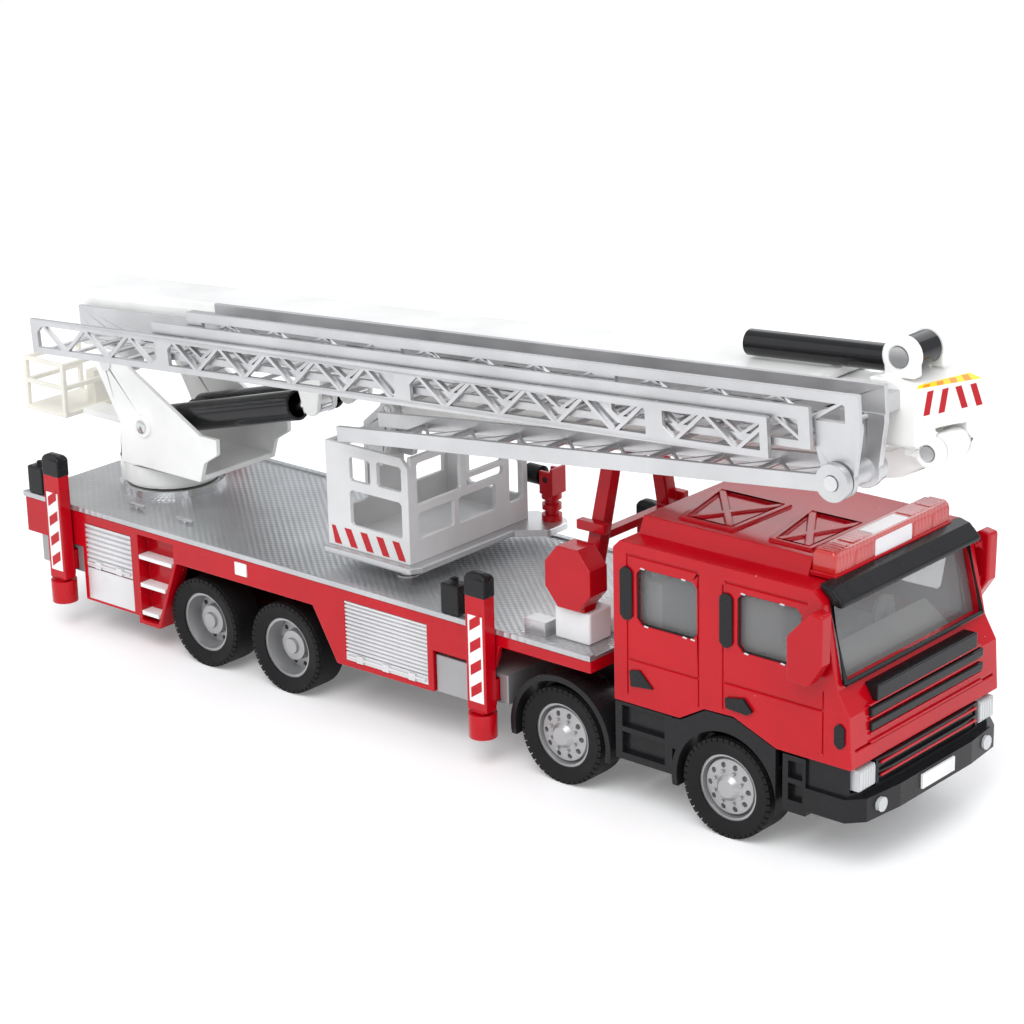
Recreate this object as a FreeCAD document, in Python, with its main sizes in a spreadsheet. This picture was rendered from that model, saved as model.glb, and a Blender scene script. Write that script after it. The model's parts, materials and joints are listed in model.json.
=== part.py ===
"""A die-cast toy fire engine with a ladder boom, as separate pieces in one parametric document.

X points forwards, Y to the truck's left and Z up, in millimetres, from the ground under the toy's middle.
Places along the truck are counted from the front axle, and places on the boom from the boom's pivot.
"""

import FreeCAD, Part
import math
import os
import re

import Sketcher

SIZES = {
    # frame and wheels
    "front_axle_x": 89.925, "axle_2": -40.0, "axle_3": -115.6, "axle_4": -140.3, "axle_z": 10.0,
    "axle_radius": 1.2, "bore_gap": 0.06, "tyre_radius": 10.0, "tyre_inner": 16.2, "tyre_outer": 24.0,
    "rim_radius": 6.6, "rim_face": 23.2, "rim_back": 17.0, "dish_depth": 3.6, "hub_radius": 2.6,
    "rim_hole": 0.55, "rim_hole_ring": 4.4, "rim_holes": 10,
    # chassis
    "chassis_rear": -192.0, "chassis_front": 20.0, "spine_half": 9.0, "spine_low": 6.5, "spine_high": 12.5,
    "floor_half": 15.0, "floor_high": 13.4, "cab_floor_low": 23.0, "cab_floor_high": 24.2,
    # body and deck
    "body_rear": -196.0, "body_half": 25.0, "body_tail_low": 19.8, "body_low": 7.4, "body_wall": 1.2,
    "body_tail_end": -177.4, "body_high": 28.0,
    "body_top_skin": 1.0, "panel_front": -72.2, "panel_low": 11.5, "ledge_front": -56.0, "ledge_low": 20.5,
    "ledge_tip": -54.4, "strip_low": 25.5, "deck_front": -31.3, "deck_half": 25.2,
    "deck_high": 28.8, "trim_wide": 1.6, "trim_high": 0.4,
    "arch_rear_low": -153.4, "arch_rear_top": -146.9, "arch_front_top": -105.8, "arch_front_low": -99.3,
    "arch_high": 22.4, "step_block_low": 5.7, "step_rear": -159.0, "step_deep": 3.0,
    "shutter_rear_1": -176.2, "shutter_front_1": -161.4, "shutter_low_1": 8.0, "shutter_high": 25.6,
    "shutter_rear_2": -96.5, "shutter_front_2": -73.8, "shutter_low_2": 12.6, "shutter_thick": 0.8,
    # stabilisers
    "leg_front_x": -57.5, "leg_rear_x": -182.4, "leg_half": 2.5, "leg_inner": 25.5, "leg_outer": 28.5,
    "leg_low": 12.0, "leg_high": 40.0, "foot_low": 6.6, "foot_radius": 2.9,
    "beam_half": 2.2, "beam_low": 14.0, "beam_high": 18.4, "beam_inner": 3.0, "beam_gap": 0.25,
    "rod_half": 1.3, "rod_top": 28.0, "house_half": 24.4, "house_low": 13.4, "house_high": 19.6,
    "house_wall": 4.6,
    # cab
    "cab_rear": -26.0, "cab_half": 24.5, "cab_low": 21.7, "cab_roof": 54.0, "cab_wall": 1.2,
    "cab_nose": 27.6,
    "nose_low": 21.4, "arch_top": 25.0, "screen_foot_x": 25.0, "screen_foot_z": 36.0, "screen_top_x": 21.5,
    "screen_top_z": 52.0, "screen_half": 22.6, "roof_rise": 57.7, "roof_half": 17.6, "roof_front": 14.6,
    "glass_thick": 0.8, "window_low": 38.2, "window_high": 49.6, "bar_low": 55.15, "bar_high": 59.2,
    # turntable
    "turn_x": -174.0, "ring_radius": 11.9, "ring_bore": 8.6, "ring_high": 30.4, "base_low": 30.7,
    "base_step": 31.6, "base_radius": 11.5, "neck_radius": 10.5, "base_high": 36.5, "bolt_radius": 3.0,
    "plate_inner": 10.3, "plate_outer": 11.5, "pivot_x": -181.0, "pivot_z": 58.5, "pivot_radius": 1.2,
    "foot_pin_x": -169.6, "foot_pin_z": 46.0, "foot_pin_radius": 1.0,
    # lift cylinders
    "ram_y": 5.5, "ram_radius": 3.3, "ram_bore": 2.7, "ram_rod": 1.2, "ram_length": 44.0, "ram_eye": 2.4,
    "ram_eye_half": 1.6, "ram_clevis_x": -120.4, "ram_clevis_z": 58.8, "ram_rod_length": 42.0,
    # boom, in its own frame from the pivot
    "boom_pitch": 4.0, "boom_rear": -12.6, "boom_front": 191.0, "boom_half": 8.2, "boom_low": 2.2,
    "boom_high": 15.4, "boom_wall": 1.3, "boom_bevel": 1.5, "boom_closed": 8.0,
    "inner_rear": 118.0, "inner_half": 6.55, "inner_low": 3.85, "inner_high": 13.75, "head_rear": 202.0,
    "head_front": 211.8,
    "head_far_front": 216.0, "head_low": 4.6, "head_high": 16.9, "ear_u": 212.8, "ear_v": 3.6,
    "ear_radius": 2.8,
    "horn_u": 207.2, "horn_v": 20.4, "horn_radius": 3.6, "top_pin": 1.9, "top_radius": 2.5, "top_v": 18.4,
    # ladder sections
    "cell": 14.0, "truss_bar": 2.3, "rail_thick": 1.0, "rung_radius": 0.45,
    "near_1": -24.5, "far_1": -9.3, "rear_1": -8.4, "front_1": 191.4, "low_1": 4.6, "high_1": 12.3,
    "near_2": -23.0, "far_2": -10.8, "rear_2": 30.0, "front_2": 199.5, "low_2": 6.9, "high_2": 14.6,
    "near_3": -21.5, "far_3": -12.3, "rear_3": 39.5, "front_3": 209.0, "low_3": 10.6, "high_3": 17.3,
    "knuckle_u": 204.0, "knuckle_v": 1.5, "knuckle_radius": 3.5, "knuckle_pin": 1.4,
    # jib
    "jib_pitch": 6.35, "jib_length": 121.0, "jib_high": 1.4, "jib_low": -1.7, "jib_near": -23.6,
    "jib_far": -10.4,
    "basket_pin_x": -101.0, "basket_pin_z": 60.6, "arm_half": 2.2, "arm_radius": 2.4,
    # basket
    "basket_rear": -108.0, "basket_front": -85.0, "basket_near": -17.0, "basket_far": 20.0,
    "basket_low": 33.3,
    "basket_high": 56.0, "basket_wall": 1.0, "rim_low": 31.8, "rim_out": 1.6,
    "platform_far": 25.0, "monitor_x": -80.6, "monitor_y": 22.6, "monitor_z": 42.6,
}

doc = FreeCAD.newDocument("fire_engine")
sheet = doc.addObject("Spreadsheet::Sheet", "Sizes")
for row, (alias, value) in enumerate(SIZES.items(), start=1):
    sheet.set(f"A{row}", alias)
    sheet.set(f"B{row}", str(value))
    sheet.setAlias(f"B{row}", alias)
doc.recompute()

NODES = []
TRUCK, BOOM = "truck", "boom"
MIRROR = FreeCAD.Vector(0, 1, 0)
# How a sketch stands: its X and Y become X and Z with its normal along -Y, or Y and Z with its normal
# along X, or they stay X and Y.
UPRIGHT = FreeCAD.Rotation(FreeCAD.Vector(1, 0, 0), 90)
FACING = FreeCAD.Rotation(FreeCAD.Vector(1, 1, 1), 120)
FLAT = FreeCAD.Rotation()


# ---- words of the sheet ----

def linked(expression):
    """An expression in the sheet's words, as the document writes it."""
    return re.sub(r"[a-z][a-z_0-9]*",
                  lambda word: "Sizes." + word.group() if word.group() in SIZES else word.group(),
                  str(expression))


def amount(expression):
    """The number that a sum of sheet words and numbers comes to."""
    total = 0.0
    for sign, term in re.findall(r"([+-]?)\s*([a-z0-9_./*]+)", str(expression)):
        value = 1.0
        for operation, factor in re.findall(r"([*/]?)([a-z0-9_.]+)", term):
            number = SIZES[factor] if factor in SIZES else float(factor)
            value = value / number if operation == "/" else value * number
        total += -value if sign == "-" else value
    return total


def bind(piece, **sizes):
    """Tie properties of a piece to the sheet."""
    for name, expression in sizes.items():
        piece.setExpression(name, linked(expression))


def at(piece, x=0, y=0, z=0):
    """Tie the piece's place to the sheet."""
    for axis, expression in zip("xyz", (x, y, z), strict=True):
        piece.setExpression(f".Placement.Base.{axis}", linked(expression))
    return piece


# ---- solids ----

def box(x, y, z, x_end, y_end, z_end):
    """A block between two corners."""
    piece = doc.addObject("Part::Box", "Block")
    bind(piece, Length=f"({x_end}) - ({x})", Width=f"({y_end}) - ({y})", Height=f"({z_end}) - ({z})")
    return at(piece, x, y, z)


def rod(start, end, radius, along="Y"):
    """A cylinder along X, Y or Z between two points that differ only there."""
    piece = doc.addObject("Part::Cylinder", "Rod")
    axis = "XYZ".index(along)
    turn = {"X": (FreeCAD.Vector(0, 1, 0), 90), "Y": (FreeCAD.Vector(1, 0, 0), -90),
            "Z": (FreeCAD.Vector(0, 0, 1), 0)}
    piece.Placement = FreeCAD.Placement(FreeCAD.Vector(), FreeCAD.Rotation(*turn[along]))
    bind(piece, Radius=radius, Height=f"({end[axis]}) - ({start[axis]})")
    return at(piece, *start)


def outline(points, loops=()):
    """A closed sketch whose corners are tied to the sheet, with any inner loops."""
    sketch = doc.addObject("Sketcher::SketchObject", "Outline")
    draw(sketch, [points, *loops])
    return sketch


def draw(sketch, loops):
    """Draw closed loops of straight lines in a sketch and tie every corner to the sheet."""
    for corners in loops:
        first = sketch.GeometryCount
        places = [FreeCAD.Vector(amount(a), amount(b), 0) for a, b in corners]
        count = len(places)
        for number in range(count):
            sketch.addGeometry(Part.LineSegment(places[number], places[(number + 1) % count]), False)
        for number in range(count):
            joint = Sketcher.Constraint("Coincident", first + number, 2, first + (number + 1) % count, 1)
            sketch.addConstraint(joint)
        for number, (a, b) in enumerate(corners):
            for kind, expression in (("DistanceX", a), ("DistanceY", b)):
                index = sketch.addConstraint(
                    Sketcher.Constraint(kind, -1, 1, first + number, 1, amount(expression)))
                if re.search("[a-z]", str(expression)):
                    sketch.setExpression(f"Constraints[{index}]", linked(expression))


def prism(points, low, high, plane=UPRIGHT, loops=()):
    """An outline pushed out between two levels across its plane."""
    sketch = outline(points, loops)
    piece = doc.addObject("Part::Extrusion", "Prism")
    piece.Base = sketch
    piece.DirMode = "Normal"
    piece.Solid = True
    bind(piece, LengthFwd=f"({high}) - ({low})")
    base = {0: (0, high, 0), 1: (low, 0, 0), 2: (0, 0, low)}[[UPRIGHT, FACING, FLAT].index(plane)]
    sketch.Placement = FreeCAD.Placement(FreeCAD.Vector(), plane)
    at(sketch, *base)
    return piece


def mirrored(piece):
    """The same piece on the truck's other side."""
    other = doc.addObject("Part::Mirroring", "Mirrored")
    other.Source = piece
    other.Normal = MIRROR
    return other


def both(*pieces):
    """The pieces and their mirror images."""
    return [*pieces, *(mirrored(piece) for piece in pieces)]


def fuse(*pieces):
    """One solid from pieces that touch."""
    joined = doc.addObject("Part::MultiFuse", "Joined")
    joined.Shapes = list(pieces)
    joined.Refine = True
    return joined


def cut(base, *tools):
    """A piece less its tools."""
    result = doc.addObject("Part::Cut", "Less")
    result.Base = base
    result.Tool = tools[0] if len(tools) == 1 else group(*tools)
    return result


def group(*pieces):
    """Separate solids held together as one object."""
    held = doc.addObject("Part::Compound", "Group")
    held.Links = list(pieces)
    return held


def node(label, *pieces, frame=TRUCK):
    """A named sub-part, placed in the truck's frame or in the boom's."""
    part = group(*pieces)
    part.Label = label
    if frame == BOOM:
        at(part, "front_axle_x + pivot_x", 0, "pivot_z")
        part.Placement.Rotation = FreeCAD.Rotation(FreeCAD.Vector(0, -1, 0), SIZES["boom_pitch"])
        part.setExpression(".Placement.Rotation.Angle", linked("boom_pitch"))
    else:
        at(part, "front_axle_x", 0, 0)
    NODES.append(part)
    return part


# ---- chassis and body ----

def chassis_frame():
    """The black underframe: a spine with an axle bore at each axle, a floor and the cab's floor."""
    spine = box("chassis_rear", "-spine_half", "spine_low", "chassis_front", "spine_half", "spine_high")
    floor = box("chassis_rear", "-floor_half", "spine_high", "panel_front + 8", "floor_half", "floor_high")
    front = box("panel_front + 24", "-floor_half", "spine_high", "deck_front + 6", "floor_half",
                "spine_high + 1")
    cab_floor = box("cab_rear + 2", "-cab_half + 2", "cab_floor_low", "14.5", "cab_half - 2",
                    "cab_floor_high")
    posts = [box(x, "-spine_half + 1", "spine_high", f"{x} + 6", "spine_half - 1", "cab_floor_low")
             for x in ("-24", "5")]
    bores = [rod((x, "-spine_half - 1", "axle_z"), (x, "spine_half + 1", "axle_z"),
                 "axle_radius + bore_gap")
             for x in ("0", "axle_2", "axle_3", "axle_4")]
    places = ("-20", "-78", "-157")
    holes = [rod((x, 0, "spine_low - 1"), (x, 0, "spine_low + 1.2"), "1.9", "Z") for x in places]
    node("chassis_frame", cut(fuse(spine, floor, front, cab_floor, *posts), *bores, *holes))
    screws = []
    for x in places:
        head = rod((x, 0, "spine_low + 0.2"), (x, 0, "spine_low + 1.2"), "1.7", "Z")
        slots = [box(f"{x} - 1.1", "-0.2", "spine_low", f"{x} + 1.1", "0.2", "spine_low + 0.7"),
                 box(f"{x} - 0.2", "-1.1", "spine_low", f"{x} + 0.2", "1.1", "spine_low + 0.7")]
        screws.append(cut(head, *slots))
    node("chassis_screws", *screws)


def step_edge(z, inset):
    """Where the step block's slanted front edge stands at a height, less an inset."""
    low, high = SIZES["arch_rear_low"], SIZES["arch_rear_top"]
    share = (z - SIZES["step_block_low"]) / (SIZES["arch_high"] - SIZES["step_block_low"])
    return f"{low + (high - low) * share - inset:.3f}"


def body_shell():
    """The red body: one thin shell with wheel arches, step recesses and shutter recesses."""
    side = [("body_rear", "body_tail_low"), ("body_tail_end", "body_tail_low"),
            ("body_tail_end", "body_low"),
            ("step_rear - 1", "body_low"), ("step_rear - 1", "step_block_low"),
            ("arch_rear_low", "step_block_low"),
            ("arch_rear_top", "arch_high"), ("arch_front_top", "arch_high"),
            ("arch_front_low", "panel_low - 0.4"),
            ("panel_front", "panel_low"), ("panel_front", "ledge_low"), ("ledge_front", "ledge_low"),
            ("ledge_tip", "strip_low"), ("deck_front", "strip_low"), ("deck_front", "body_high"),
            ("body_rear", "body_high")]
    shell = prism(side, "-body_half", "body_half")
    hollow = box("body_rear + body_wall", "-body_half + body_wall", "-1", "deck_front - body_wall",
                 "body_half - body_wall", "body_high - body_top_skin")
    block = prism([("step_rear - 1", "step_block_low"), ("arch_rear_low", "step_block_low"),
                   ("arch_rear_top", "arch_high"), ("arch_rear_top", "body_high - 0.5"),
                   ("step_rear - 1", "body_high - 0.5")], "-body_half + 0.6",
                  "-body_half + step_deep + 1.2")
    floor, head = 6.7, 26.6
    recess = prism([("step_rear", f"{floor}"), (step_edge(floor, 0.9), f"{floor}"),
                    (step_edge(22.4, 0.9), "22.4"),
                    (step_edge(22.4, 0.9), f"{head}"), ("step_rear", f"{head}")], "-body_half - 1",
                   "-body_half + step_deep")
    shutters = [box(f"shutter_rear_{n}", "-body_half - 1", f"shutter_low_{n}", f"shutter_front_{n}",
                    "-body_half + shutter_thick", "shutter_high") for n in (1, 2)]
    marker = box("-128.4", "-body_half - 1", "24.2", "-124.8", "-body_half + 0.4", "27.2")
    bolt_hole = rod(("turn_x", 0, "body_high - 2"), ("turn_x", 0, "body_high + 1"), "bolt_radius + 0.5",
                    "Z")
    shell = fuse(cut(shell, hollow), *both(block))
    node("body_shell", cut(shell, *both(recess, *shutters, marker), bolt_hole))
    treads = []
    for height in (8.0, 14.5, 21.0):
        treads.append(box("step_rear + 0.05", "-body_half + 0.1", f"{height}", step_edge(height, 1.2),
                          "-body_half + step_deep", f"{height + 0.9}"))
    square = box("-128.3", "-body_half - 0.2", "24.3", "-124.9", "-body_half + 0.35", "27.1")
    node("side_steps", *both(*treads, square))


def slatted(rear, front, low, high, slats):
    """A roller shutter: a plate whose face is a row of slats above a plain foot."""
    face, groove, back = "-body_half + 0.1", "-body_half + 0.45", "-body_half + shutter_thick"
    foot = f"{low} + 1.8"
    pitch = (amount(high) - amount(foot)) / slats
    points = [(back, low), (face, low), (face, foot)]
    for number in range(slats):
        base = amount(foot) + number * pitch
        points += [(groove, f"{base + 0.05 * pitch:.3f}"), (face, f"{base + 0.4 * pitch:.3f}"),
                   (face, f"{base + 0.9 * pitch:.3f}")]
    points += [(groove, high), (back, high)]
    return prism(points, rear, front, FACING)


def latch_bar(rear, front, z, latches):
    """The handle bar along a shutter's foot, with its latches."""
    bar = rod((rear, "-body_half - 0.05", z), (front, "-body_half - 0.05", z), "0.35", "X")
    step = (amount(front) - amount(rear)) / latches
    blocks = []
    for number in range(latches):
        middle = amount(rear) + (number + 0.5) * step
        blocks.append(box(f"{middle - 0.9:.3f}", "-body_half - 0.35", f"{z} - 0.8", f"{middle + 0.9:.3f}",
                          "-body_half + 0.3", f"{z} + 0.8"))
    return fuse(bar, *blocks)


def roller_shutters():
    """The four silver roller shutters in the body's sides, with their handle bars."""
    split = "15.6"
    rear = slatted("shutter_rear_1", "shutter_front_1", split, "shutter_high", 7)
    door = box("shutter_rear_1", "-body_half + 0.1", "shutter_low_1", "shutter_front_1",
               "-body_half + shutter_thick",
               f"{split} - 0.3")
    middle = slatted("shutter_rear_2", "shutter_front_2", "shutter_low_2", "shutter_high", 13)
    bars = [latch_bar("shutter_rear_1 + 0.5", "shutter_front_1 - 0.5", f"{split} + 0.9", 2),
            latch_bar("shutter_rear_2 + 0.5", "shutter_front_2 - 0.5", "shutter_low_2 + 0.9", 3)]
    node("roller_shutters", *both(fuse(rear, bars[0]), door, fuse(middle, bars[1])))


def deck():
    """The silver deck plate with its raised edges, and the small fittings on it."""
    plate = box("body_rear - 0.5", "-deck_half", "body_high", "deck_front", "deck_half", "deck_high")
    edge = box("body_rear - 0.5", "-deck_half", "deck_high", "deck_front", "-deck_half + trim_wide",
               "deck_high + trim_high")
    hole = rod(("turn_x", 0, "body_high - 1"), ("turn_x", 0, "deck_high + 1"), "bolt_radius + bore_gap",
               "Z")
    node("deck_plate", cut(fuse(plate, *both(edge)), hole))
    handles = []
    for x in ("-166.8", "-151.3"):
        post = rod((x, "-17.6", "deck_high"), (x, "-17.6", "deck_high + 0.9"), "0.5", "Z")
        bar = box(f"{x} - 2.4", "-18.0", "deck_high + 0.6", f"{x} + 2.4", "-17.2", "deck_high + 1.2")
        handles.append(fuse(post, bar))
    locker = box("-50.4", "-22", "deck_high", "-45.2", "-18.2", "deck_high + 2.9")
    rest_post = fuse(rod(("-90", "-12.5", "deck_high"), ("-90", "-12.5", "deck_high + 0.6"), "2.4", "Z"),
                     rod(("-90", "-12.5", "deck_high + 0.6"), ("-90", "-12.5", "deck_high + 2.6"), "1.4",
                         "Z"))
    node("deck_fittings", *handles, locker, rest_post)


def turntable_ring():
    """The chrome ring that the turntable runs on."""
    ring = cut(rod(("turn_x", 0, "deck_high"), ("turn_x", 0, "ring_high"), "ring_radius", "Z"),
               rod(("turn_x", 0, "deck_high - 1"), ("turn_x", 0, "ring_high + 1"), "ring_bore", "Z"))
    node("turntable_ring", ring)


def deck_equipment():
    """What stands on the deck behind the cab: pump block, faceted cover, ladder rest and control boxes."""
    block = box("-44", "-20.4", "deck_high", "-35.2", "-13.6", "35.4")
    base = box("-44", "-12", "deck_high", "-33", "12", "deck_high + 3")
    node("pump_block", block, base)
    middle, lift, reach, flat = -39.0, 42.4, 5.6, 2.6
    corners = [(middle - reach, lift - flat), (middle - flat, lift - 6.2), (middle + flat, lift - 6.2),
               (middle + reach, lift - flat), (middle + reach, lift + flat), (middle + flat, lift + 6.2),
               (middle - flat, lift + 6.2), (middle - reach, lift + flat)]
    cover = fuse(prism(corners, "-22.4", "-17"), box("-42", "-21", "35.5", "-36", "-17.4", "37"))
    node("pump_cover", cover)
    near = [("-16.6", "35.6"), ("-13.2", "35.6"), ("-5.6", "62.8"), ("-8.4", "62.8")]
    far = [("15.6", "deck_high + 3.1"), ("12.0", "deck_high + 3.1"), ("5.6", "62.8"), ("8.4", "62.8")]
    posts = [prism(points, "-41.4", "-38.4", FACING) for points in (near, far)]
    bars = [box("-41.0", "-8", "60.8", "-38.8", "8", "62.4"),
            box("-41.0", "-12.5", "47", "-38.8", "12.5", "48.6")]
    stubs = [box("-43.4", y, "49.4", "-36.4", f"{y} + 1.8", "51.4") for y in ("-14.2", "10.8")]
    node("ladder_rest", fuse(*posts, *bars, *stubs))
    boxes = []
    for leg in ("leg_front_x", "leg_rear_x"):
        case = box(f"{leg} - 12.2", "-deck_half + 0.2", "deck_high + trim_high", f"{leg} - 7.4",
                   "-deck_half + 3.8", "35.6")
        lever = rod((f"{leg} - 9.8", "-deck_half + 2.0", "35.6"),
                    (f"{leg} - 9.8", "-deck_half + 2.0", "36.6"),
                    "0.8", "Z")
        boxes.append(fuse(case, lever))
    node("control_boxes", *boxes)


# ---- stabilisers ----

def stabilisers():
    """Four beams that slide out of their housings, each with a leg and a foot that drops out of it."""
    houses = []
    for leg in ("leg_front_x", "leg_rear_x"):
        rear = "chassis_rear" if leg == "leg_rear_x" else f"{leg} - house_wall"
        case = box(rear, "-house_half", "house_low", f"{leg} + house_wall", "house_half", "house_high")
        bore = box(f"{leg} - beam_half - beam_gap", "-house_half - 1", "beam_low - beam_gap",
                   f"{leg} + beam_half + beam_gap", "house_half + 1", "beam_high + beam_gap")
        houses.append(cut(case, bore))
    cheek = box("leg_front_x - 14.4", "-house_half", "11.6", "leg_front_x - 5.1", "-house_half + 6",
                "house_high")
    node("stabiliser_housings", *houses, *both(cheek))
    for end, leg in (("front", "leg_front_x"), ("rear", "leg_rear_x")):
        beam = box(f"{leg} - beam_half", "-leg_inner - 0.2", "beam_low", f"{leg} + beam_half",
                   "-beam_inner",
                   "beam_high")
        post = box(f"{leg} - leg_half", "-leg_outer", "leg_low", f"{leg} + leg_half", "-leg_inner",
                   "leg_high")
        shaft = box(f"{leg} - rod_half - 0.15", "-leg_outer + 1.5 - rod_half - 0.05", "leg_low - 1",
                    f"{leg} + rod_half + 0.15", "-leg_outer + 1.5 + rod_half + 0.05", "rod_top + 5")
        beam_leg = cut(fuse(beam, post), shaft)
        pad = rod((leg, "-leg_outer + 1.6", "foot_low"), (leg, "-leg_outer + 1.6", "leg_low - 0.3"),
                  "foot_radius",
                  "Z")
        stem = box(f"{leg} - rod_half", "-leg_outer + 1.5 - rod_half + 0.1", "leg_low - 0.3",
                   f"{leg} + rod_half", "-leg_outer + 1.5 + rod_half - 0.1", "rod_top")
        foot = fuse(pad, stem)
        node(f"stabiliser_{end}_right", beam_leg)
        node(f"stabiliser_{end}_left", mirrored(beam_leg))
        node(f"foot_{end}_right", foot)
        node(f"foot_{end}_left", mirrored(foot))


# ---- wheels ----

def turned(name, corners):
    """A body of revolution about Y from the half section between the axis and the given corners."""
    body = doc.addObject("PartDesign::Body", name)
    sketch = body.newObject("Sketcher::SketchObject", f"{name}_section")
    plane = next(item for item in body.Origin.OriginFeatures if item.Role == "XY_Plane")
    sketch.AttachmentSupport = (plane, [""])
    sketch.MapMode = "FlatFace"
    draw(sketch, [corners])
    turn = body.newObject("PartDesign::Revolution", f"{name}_turned")
    turn.Profile = sketch
    turn.ReferenceAxis = (sketch, ["V_Axis"])
    turn.Angle = 360
    sketch.Visibility = False
    return body


def ring_of_holes(body, name, radius, ring, count, depth):
    """Drill a ring of holes into the outer face of a turned body."""
    sketch = body.newObject("Sketcher::SketchObject", f"{name}_sketch")
    plane = next(item for item in body.Origin.OriginFeatures if item.Role == "XZ_Plane")
    sketch.AttachmentSupport = (plane, [""])
    sketch.MapMode = "FlatFace"
    sketch.AttachmentOffset = FreeCAD.Placement(FreeCAD.Vector(0, 0, SIZES["rim_face"] + 1),
                                                FreeCAD.Rotation())
    place = FreeCAD.Vector(amount(ring), 0, 0)
    sketch.addGeometry(Part.Circle(place, FreeCAD.Vector(0, 0, 1), amount(radius)), False)
    for kind, expression in (("DistanceX", ring), ("DistanceY", 0)):
        index = sketch.addConstraint(Sketcher.Constraint(kind, -1, 1, 0, 3, amount(expression)))
        if expression:
            sketch.setExpression(f"Constraints[{index}]", linked(expression))
    index = sketch.addConstraint(Sketcher.Constraint("Radius", 0, amount(radius)))
    sketch.setExpression(f"Constraints[{index}]", linked(radius))
    doc.recompute()
    solid = body.Shape.Volume
    hole = body.newObject("PartDesign::Pocket", f"{name}_hole")
    hole.Profile = sketch
    hole.Length = amount(depth)
    hole.setExpression("Length", linked(depth))
    doc.recompute()
    if solid - body.Shape.Volume < 0.01:
        hole.Reversed = True
        doc.recompute()
    pattern = body.newObject("PartDesign::PolarPattern", f"{name}_pattern")
    pattern.Originals = [hole]
    axis = next(item for item in body.Origin.OriginFeatures if item.Role == "Y_Axis")
    pattern.Axis = (axis, [""])
    pattern.Angle = 360
    pattern.Occurrences = int(amount(count))
    body.Tip = pattern
    doc.recompute()
    return body


def wheels():
    """Four axles. Each has two rims pressed on its shaft, which are one piece with it, and two tyres."""
    tread = [("rim_radius", "-tyre_outer + 0.5"), ("tyre_radius - 0.9", "-tyre_outer"),
             ("tyre_radius", "-tyre_outer + 0.9"), ("tyre_radius", "-tyre_inner - 0.9"),
             ("tyre_radius - 0.9", "-tyre_inner"), ("rim_radius", "-tyre_inner - 0.5")]
    tyre = turned("tyre", tread)
    front = [(0, "-rim_face - 0.9"), ("hub_radius - 0.8", "-rim_face - 0.9"),
             ("hub_radius", "-rim_face - 0.1"),
             ("rim_hole_ring + 1", "-rim_face + 0.5"), ("rim_radius - 0.8", "-rim_face + 1.4"),
             ("rim_radius - 0.5", "-rim_face + 0.1"), ("rim_radius", "-rim_face + 0.1"),
             ("rim_radius", "-rim_back"),
             ("axle_radius", "-rim_back"), ("axle_radius", 0), (0, 0)]
    rear = [(0, "-rim_face + 1"), ("hub_radius - 1", "-rim_face + 1"),
            ("hub_radius - 0.8", "-rim_face + 1.6"),
            ("hub_radius + 0.6", "-rim_face + 1.8"), ("hub_radius + 0.8", "-rim_face + dish_depth"),
            ("rim_radius - 1.3", "-rim_face + dish_depth"), ("rim_radius - 0.6", "-rim_face + 0.1"),
            ("rim_radius", "-rim_face + 0.1"), ("rim_radius", "-rim_back"), ("axle_radius", "-rim_back"),
            ("axle_radius", 0), (0, 0)]
    front_rim = ring_of_holes(turned("front_rim", front), "vents", "rim_hole", "rim_hole_ring", "rim_holes",
                              "2.2")
    rear_rim = ring_of_holes(turned("rear_rim", rear), "slots", "rim_hole", "rim_radius - 2", "rim_holes",
                             "6.2")
    for number, x in enumerate(("0", "axle_2", "axle_3", "axle_4"), start=1):
        rim = front_rim if number < 3 else rear_rim
        for label, piece in ((f"wheelset_{number}", fuse(*both(rim))),
                             (f"tyres_{number}", group(*both(tyre)))):
            at(node(label, piece), f"front_axle_x + {x}", 0, "axle_z")


# ---- cab ----

def cab_profile():
    """The cab's side outline, with the arch over the front wheel."""
    return [("cab_rear", "cab_low"), ("-10.5", "cab_low"), ("-4.7", "arch_top"), ("2", "arch_top + 0.2"),
            ("11.7", "nose_low"), ("cab_nose + 0.6", "nose_low"), ("cab_nose", "31.5"),
            ("screen_foot_x", "screen_foot_z"), ("screen_top_x", "screen_top_z"),
            ("screen_top_x - 2.2", "cab_roof"),
            ("cab_rear + 1.6", "cab_roof"), ("cab_rear", "cab_roof - 1.6")]


def cab_room(inset):
    """The outline of the space inside the cab's walls, from the windscreen's foot round to the rear wall."""
    return [(f"screen_foot_x - 1.3 - {inset}", "screen_foot_z - 0.3"),
            (f"screen_top_x - 1.3 - {inset}", "screen_top_z"),
            (f"screen_top_x - 2.9 - {inset}", f"cab_roof - cab_wall - {inset}"),
            (f"cab_rear + 2.4 + {inset}", f"cab_roof - cab_wall - {inset}"),
            (f"cab_rear + cab_wall + {inset}", f"cab_roof - 2.4 - {inset}")]


def pane(rear, low, front, high, corner, lean=0.0):
    """A window's outline with cut corners, whose front edge leans forwards."""
    return [(rear + corner, low), (front - corner, low), (front, low + corner),
            (front + lean, high - corner),
            (front + lean - corner, high), (rear + corner, high), (rear, high - corner),
            (rear, low + corner)]


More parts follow.
